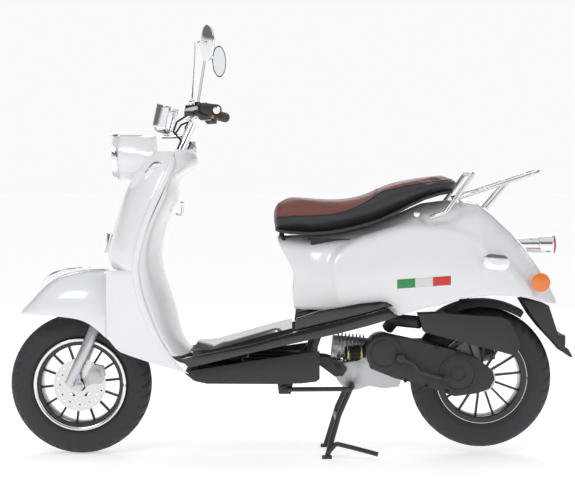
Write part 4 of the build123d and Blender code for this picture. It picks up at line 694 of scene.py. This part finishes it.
for side, hand in ((-1, "left"), (1, "right")):
    seam = []
    for step in range(BEAD_STEPS + 1):
        place = (len(BEAD_LINE) - 1) * step / BEAD_STEPS
        index = min(int(place), len(BEAD_LINE) - 2)
        share = place - index
        before = BEAD_LINE[max(0, index - 1)]
        start = BEAD_LINE[index]
        end = BEAD_LINE[index + 1]
        after = BEAD_LINE[min(len(BEAD_LINE) - 1, index + 2)]
        spot = []
        for axis in (0, 1):
            tangent_in = (end[axis] - before[axis]) / 2
            tangent_out = (after[axis] - start[axis]) / 2
            value = (2 * share ** 3 - 3 * share ** 2 + 1) * start[axis]
            value += (share ** 3 - 2 * share ** 2 + share) * tangent_in
            value += (3 * share ** 2 - 2 * share ** 3) * end[axis]
            value += (share ** 3 - share ** 2) * tangent_out
            spot.append(value)
        seam.append(spot)
    bead_rings = []
    for step, (x, height) in enumerate(seam):
        following = seam[min(step + 1, BEAD_STEPS)]
        earlier = seam[max(step - 1, 0)]
        run = Vector((following[0] - earlier[0], following[1] - earlier[1])).normalized()
        taper = min(1.0, 0.12 + (BEAD_STEPS - step) / 12, 0.5 + step / 6)
        centre_y = side * (sideways(height) + 0.0010)
        ring = []
        for turn in range(12):
            angle = 2 * math.pi * turn / 12
            wide = BEAD_WIDTH * taper * math.cos(angle)
            out = BEAD_PROUD * taper * math.sin(angle)
            ring.append((x - run[1] * wide, centre_y + side * out, height + run[0] * wide))
        bead_rings.append(ring)
    bead = skin(f"shield_bead_{hand}", bead_rings, white_lacquer)
    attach(bead, "chassis")

# The belt cover is held to the crankcase by flanged cap screws of blackened steel round its edge. A place
# where the cover has no face to bear on gets no screw.

SCREW_HEAD_DEPTH = 0.0045
SCREW_RADIUS = 0.0048


def screw(name, place, radius, body, material, side=-1):
    """A flanged cap screw whose head points out along side, with a socket sunk in it."""
    x, y, z = place
    section = ((0.0, 0.55), (0.45, 0.55), (0.55, 1.0), (0.78, 1.0), (0.86, 0.9), (0.88, 0.25), (1.2, 0.12),
               (1.25, 0.0))
    rings = []
    for radial, raised in section:
        ring = []
        for turn in range(18):
            angle = 2 * math.pi * turn / 18
            out = y + side * SCREW_HEAD_DEPTH * raised
            reach = max(radial, 0.01) * radius
            ring.append((x + reach * math.cos(angle), out, z + reach * math.sin(angle)))
        rings.append(ring)
    piece = skin(name, rings, material)
    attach(piece, body)


black_screw = finish("black_screw", (0.03, 0.03, 0.03), 0.32, metallic=0.6, grain=1200, relief=0.05)
CRANK_CENTRE = (0.281, 0.320)
CLUTCH_CENTRE = (0.503, 0.261)
COVER_SCREW_REACH = 0.062
cover_run = Vector((CLUTCH_CENTRE[0] - CRANK_CENTRE[0], CLUTCH_CENTRE[1] - CRANK_CENTRE[1])).normalized()
cover_across = Vector((-cover_run[1], cover_run[0]))
cover_screws = []
for step in range(4):
    share = 0.08 + 0.84 * step / 3
    for hand in (-1, 1):
        x = CRANK_CENTRE[0] + (CLUTCH_CENTRE[0] - CRANK_CENTRE[0]) * share
        z = CRANK_CENTRE[1] + (CLUTCH_CENTRE[1] - CRANK_CENTRE[1]) * share
        x += cover_across[0] * hand * COVER_SCREW_REACH
        z += cover_across[1] * hand * COVER_SCREW_REACH
        cover_screws.append((x, z))
belt_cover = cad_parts["cvt_cover"]
for order, (x, z) in enumerate(cover_screws):
    struck, spot, _, _ = belt_cover.ray_cast((x, -0.4, z), (0, 1, 0))
    if struck:
        screw(f"belt_cover_screw_{order}", (x, spot[1], z), SCREW_RADIUS, "engine", black_screw)

# Raised rings moulded with the belt cover stiffen it: two over the clutch and one over the crankshaft. A
# ring is left out where too little of it would lie on the cover.

RING_POINTS = 64
RING_FEWEST = 40
RING_WIRE = 0.0022
COVER_RINGS = (("clutch_ring", CLUTCH_CENTRE, 0.050), ("clutch_inner_ring", CLUTCH_CENTRE, 0.022),
               ("crank_ring", CRANK_CENTRE, 0.040))
for name, centre, radius in COVER_RINGS:
    points = []
    for turn in range(RING_POINTS):
        angle = 2 * math.pi * turn / RING_POINTS
        x = centre[0] + radius * math.cos(angle)
        z = centre[1] + radius * math.sin(angle)
        struck, spot, _, _ = belt_cover.ray_cast((x, -0.4, z), (0, 1, 0))
        if struck:
            points.append((x, spot[1] - 0.0002, z))
    if len(points) > RING_FEWEST:
        whole = len(points) == RING_POINTS
        rib = cord_of(f"{name}_rib", points, RING_WIRE, black_moulding, cyclic=whole)
        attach(rib, "engine")

# A short corrugated rubber duct brings cooling air to the front of the belt cover. Two clips of zinc-plated
# steel, passivated gold, go round it.

DUCT_POINTS = ((0.165, -0.070, 0.314), (0.185, -0.078, 0.319), (0.205, -0.085, 0.322), (0.228, -0.090, 0.322))
DUCT_RADIUS = 0.019
DUCT_RIPPLE = 0.0022
DUCT_STEPS = 48
# For each clip: its middle, then its radius
DUCT_CLIPS = ((0.176, -0.074, 0.317, 0.0215), (0.216, -0.088, 0.322, 0.0215))
CLIP_HALF_WIDTH = 0.004
CLIP_THICKNESS = 0.0008
zinc_gold = finish("zinc_gold", (0.62, 0.46, 0.16), 0.3, metallic=1.0, grain=900, relief=0.05, shading=0.15)
duct_rings = []
for step in range(DUCT_STEPS + 1):
    place = (len(DUCT_POINTS) - 1) * step / DUCT_STEPS
    index = min(int(place), len(DUCT_POINTS) - 2)
    start = Vector(DUCT_POINTS[index])
    centre = start.lerp(Vector(DUCT_POINTS[index + 1]), place - index)
    width = DUCT_RADIUS + DUCT_RIPPLE * math.cos(step * math.pi / 2)
    duct_rings.append([(centre[0], centre[1] + width * math.cos(2 * math.pi * turn / 24),
                        centre[2] + width * math.sin(2 * math.pi * turn / 24)) for turn in range(24)])
duct = skin("belt_air_duct", duct_rings, soft_rubber)
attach(duct, "engine")
for order, (x, y, z, radius) in enumerate(DUCT_CLIPS):
    band = []
    for wide in (-CLIP_HALF_WIDTH, CLIP_HALF_WIDTH):
        band.append([(x + wide, y + radius * math.cos(2 * math.pi * turn / 40),
                      z + radius * math.sin(2 * math.pi * turn / 40)) for turn in range(40)])
    clip = skin(f"duct_clip_{order}", band, zinc_gold, capped=False)
    strip = clip.modifiers.new("strip", "SOLIDIFY")
    strip.thickness = CLIP_THICKNESS
    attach(clip, "engine")

# Each mirror's reflecting glass faces back to the rider. It is very slightly domed and sits in a black
# rubber gasket, pressed into the open side of the chrome shell.

GLASS_RADIUS = 0.0475
GASKET_RADIUS = 0.0515
GLASS_RINGS = (0.001, 0.012, 0.024, 0.036, GLASS_RADIUS)
GASKET_RINGS = (GLASS_RADIUS, GLASS_RADIUS + 0.0008, GASKET_RADIUS - 0.001, GASKET_RADIUS)
MIRROR_TOE = math.radians(23)
mirror_glass = finish("mirror_glass", (0.82, 0.85, 0.88), 0.02, metallic=1.0, grain=40, relief=0.0,
                      shading=0.01)
for side, hand in ((-1, "left"), (1, "right")):
    centre = Vector((-0.232, side * 0.380, 1.225))
    ahead = Vector((math.cos(MIRROR_TOE), -side * math.sin(MIRROR_TOE), 0))
    across = Vector((-ahead[1], ahead[0], 0))
    for name, radii, material in (("glass", GLASS_RINGS, mirror_glass),
                                  ("gasket", GASKET_RINGS, soft_rubber)):
        rings = []
        for radius in radii:
            if name == "glass":
                proud = 0.0004 + 0.0006 * (1 - (radius / GLASS_RADIUS) ** 2)
            else:
                proud = 0.0012 if radius in radii[1:3] else 0.0002
            rings.append([centre + ahead * proud + across * radius * math.cos(2 * math.pi * turn / 64)
                          + Vector((0, 0, radius * math.sin(2 * math.pi * turn / 64))) for turn in range(64)])
        piece = skin(f"mirror_{name}_{hand}", rings, material, capped=False)
        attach(piece, f"mirror_head_{hand}")

# The headlight has a pressed chrome rim round its domed cover, and a small chrome cap at the dome's middle.
# Both are pressed steel, snapped over the edge they sit on.

# Each section is (distance ahead, radius)
LAMP_RIM = ((0.000, 0.0705), (0.004, 0.0712), (0.009, 0.0712), (0.014, 0.0690), (0.0170, 0.0640),
            (0.0165, 0.0605), (0.0120, 0.0596))
LAMP_CAP = ((0.000, 0.015), (0.0012, 0.0148), (0.0020, 0.010), (0.0024, 0.0004))
LAMP_RIM_X = -0.5215
LAMP_CAP_X = -0.5440

def turned(name, centre, ahead, section, material, body_name, turns=72):
    """A turned piece: section is (distance ahead, radius) from its middle, about a line through centre."""
    ahead = Vector(ahead).normalized()
    across = Vector((-ahead[1], ahead[0], 0)).normalized()
    upward = ahead.cross(across)
    rings = []
    for distance, radius in section:
        ring = []
        for turn in range(turns):
            angle = 2 * math.pi * turn / turns
            out = across * radius * math.cos(angle) + upward * radius * math.sin(angle)
            ring.append(Vector(centre) + ahead * distance + out)
        rings.append(ring)
    piece = skin(name, rings, material, capped=False)
    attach(piece, body_name)
    return piece


lamp_low, lamp_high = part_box("headlight_lens")
lamp_middle = ((lamp_low[1] + lamp_high[1]) / 2, (lamp_low[2] + lamp_high[2]) / 2)
turned("headlight_rim", (LAMP_RIM_X, *lamp_middle), (-1, 0, 0), LAMP_RIM, chrome, "chassis")
turned("headlight_bulb_shield", (LAMP_CAP_X, *lamp_middle), (-1, 0, 0), LAMP_CAP, chrome, "chassis")

# The indicators are chromed plastic teardrops, one at each corner. Each has a clear window at its middle,
# pushed in from outside and standing a little proud.

dress(chrome, "indicators")
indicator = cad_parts["indicators"]
WINDOW_RINGS = (1.0, 0.92, 0.7, 0.4, 0.02)
# For each pair of windows: its end of the machine, middle along and up, half length and half height
WINDOWS = (("front", -0.404, 0.872, 0.019, 0.006), ("rear", 0.622, 0.595, 0.024, 0.008))
for name, x, z, length, height in WINDOWS:
    for side, hand in ((-1, "left"), (1, "right")):
        rings = []
        for share in WINDOW_RINGS:
            ring = []
            for turn in range(40):
                angle = 2 * math.pi * turn / 40
                px = x + length * share * math.cos(angle)
                pz = z + height * share * math.sin(angle)
                struck, spot, _, _ = indicator.ray_cast((px, side * 0.4, pz), (0, -side, 0))
                if not struck:
                    struck, spot, _, _ = indicator.ray_cast((x, side * 0.4, z), (0, -side, 0))
                ring.append((px, spot[1] + side * (0.0006 + 0.0012 * (1 - share)), pz))
            rings.append(ring)
        window = skin(f"{name}_indicator_window_{hand}", rings, clear_lens, capped=False)
        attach(window, "chassis")

# The speedometer's face looks up and back at the rider: a black dial with pale ticks and a red needle, in
# the chrome cup on the handlebar. It turns with the steering.

dial_black = finish("dial_black", (0.012, 0.012, 0.014), 0.35, grain=700, relief=0.02)
dial_pale = finish("dial_pale", (0.8, 0.8, 0.78), 0.5, grain=500, relief=0.01)
METER_TILT = math.radians(14)
METER_DEPTH = 0.084
DIAL_SUNK = 0.005
DIAL_SECTION = ((0.0004, 0.0305), (0.0008, 0.030), (0.0008, 0.0005))
TICK_COUNT = 11
TICK_START = 0.023
TICK_END = 0.028
TICK_LIFT = 0.0012
NEEDLE_LIFT = 0.0016
NEEDLE_LENGTH = 0.022
meter_low, meter_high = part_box("speedometer")
meter_up = Vector((math.sin(METER_TILT), 0, math.cos(METER_TILT)))
meter_top = (Vector(meter_low) + Vector(meter_high)) / 2 + meter_up * (METER_DEPTH / 2 - DIAL_SUNK)
turned("meter_dial", meter_top, meter_up, DIAL_SECTION, dial_black, "steering")
for tick in range(TICK_COUNT):
    angle = math.radians(-130 + 26 * tick)
    reach = meter_up.cross(Vector((0, 1, 0))) * -math.cos(angle) + Vector((0, 1, 0)) * math.sin(angle)
    tick_line = [meter_top + meter_up * TICK_LIFT + reach * TICK_START,
                 meter_top + meter_up * TICK_LIFT + reach * TICK_END]
    mark = cord_of(f"meter_tick_{tick}", tick_line, 0.0005, dial_pale)
    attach(mark, "steering")
needle_line = Vector((0, 1, 0)) * -0.6 + meter_up.cross(Vector((0, 1, 0))) * 0.8
needle_root = meter_top + meter_up * NEEDLE_LIFT
needle = cord_of("meter_needle", [needle_root, needle_root + needle_line * NEEDLE_LENGTH], 0.0006, red_lens)
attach(needle, "steering")

# The shock absorber's spring is one coil of black-painted steel wire, seated round the damper. On the machine
# it shortens from its top as the damper's rod slides in; here it is one rigid coil that moves with the
# damper.

SHOCK_TOP = Vector((0.505, 0.085, 0.622))
SHOCK_FOOT = Vector((0.566, 0.085, 0.338))
SPRING_WIRE = 0.0034
SPRING_COILS = 9
COIL_POINTS = 24
spring_low, spring_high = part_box("shock_spring")
spring_radius = (spring_high[1] - spring_low[1]) / 2 - SPRING_WIRE
shock_line = (SHOCK_FOOT - SHOCK_TOP).normalized()
shock_side = Vector((0, 1, 0))
shock_ahead = shock_line.cross(shock_side)
lean = spring_radius * abs(shock_ahead[2]) + SPRING_WIRE
spring_start = (SHOCK_TOP[2] - spring_high[2] + lean) / -shock_line[2]
spring_end = (SHOCK_TOP[2] - spring_low[2] - lean) / -shock_line[2]
coil_points = []
for step in range(SPRING_COILS * COIL_POINTS + 1):
    angle = 2 * math.pi * step / COIL_POINTS
    distance = spring_start + (spring_end - spring_start) * step / (SPRING_COILS * COIL_POINTS)
    coil_points.append(SHOCK_TOP + shock_line * distance + shock_side * spring_radius * math.cos(angle)
                       + shock_ahead * spring_radius * math.sin(angle))
coil = cord_of("shock_coil", coil_points, SPRING_WIRE, black_paint)
coil_mesh = bpy.data.meshes.new_from_object(coil)
bpy.data.objects.remove(coil)
coil = bpy.data.objects.new("shock_coil_spring", coil_mesh)
bpy.context.collection.objects.link(coil)
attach(coil, "damper")
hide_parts("shock_spring")
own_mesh(coil)

# One sewn seam runs across the seat's top at the step between the rider's and the passenger's places. It
# is the same black thread and vinyl as the piping.

CROSS_SEAM_X = 0.268
CROSS_SEAM_HALF = 0.108
CROSS_SEAM_BOW = 0.02
CROSS_SEAM_RADIUS = 0.0011
CROSS_SEAM_STEPS = 60
seam_points = []
for step in range(CROSS_SEAM_STEPS):
    y = -CROSS_SEAM_HALF + 2 * CROSS_SEAM_HALF * step / (CROSS_SEAM_STEPS - 1)
    above = (CROSS_SEAM_X - CROSS_SEAM_BOW * (y / CROSS_SEAM_HALF) ** 2, y, 1.2)
    struck, spot, _, _ = seat.ray_cast(above, (0, 0, -1))
    if struck:
        seam_points.append(spot)
stitch = cord_of("seat_cross_seam_0", seam_points, CROSS_SEAM_RADIUS, piping_vinyl)
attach(stitch, "seat")
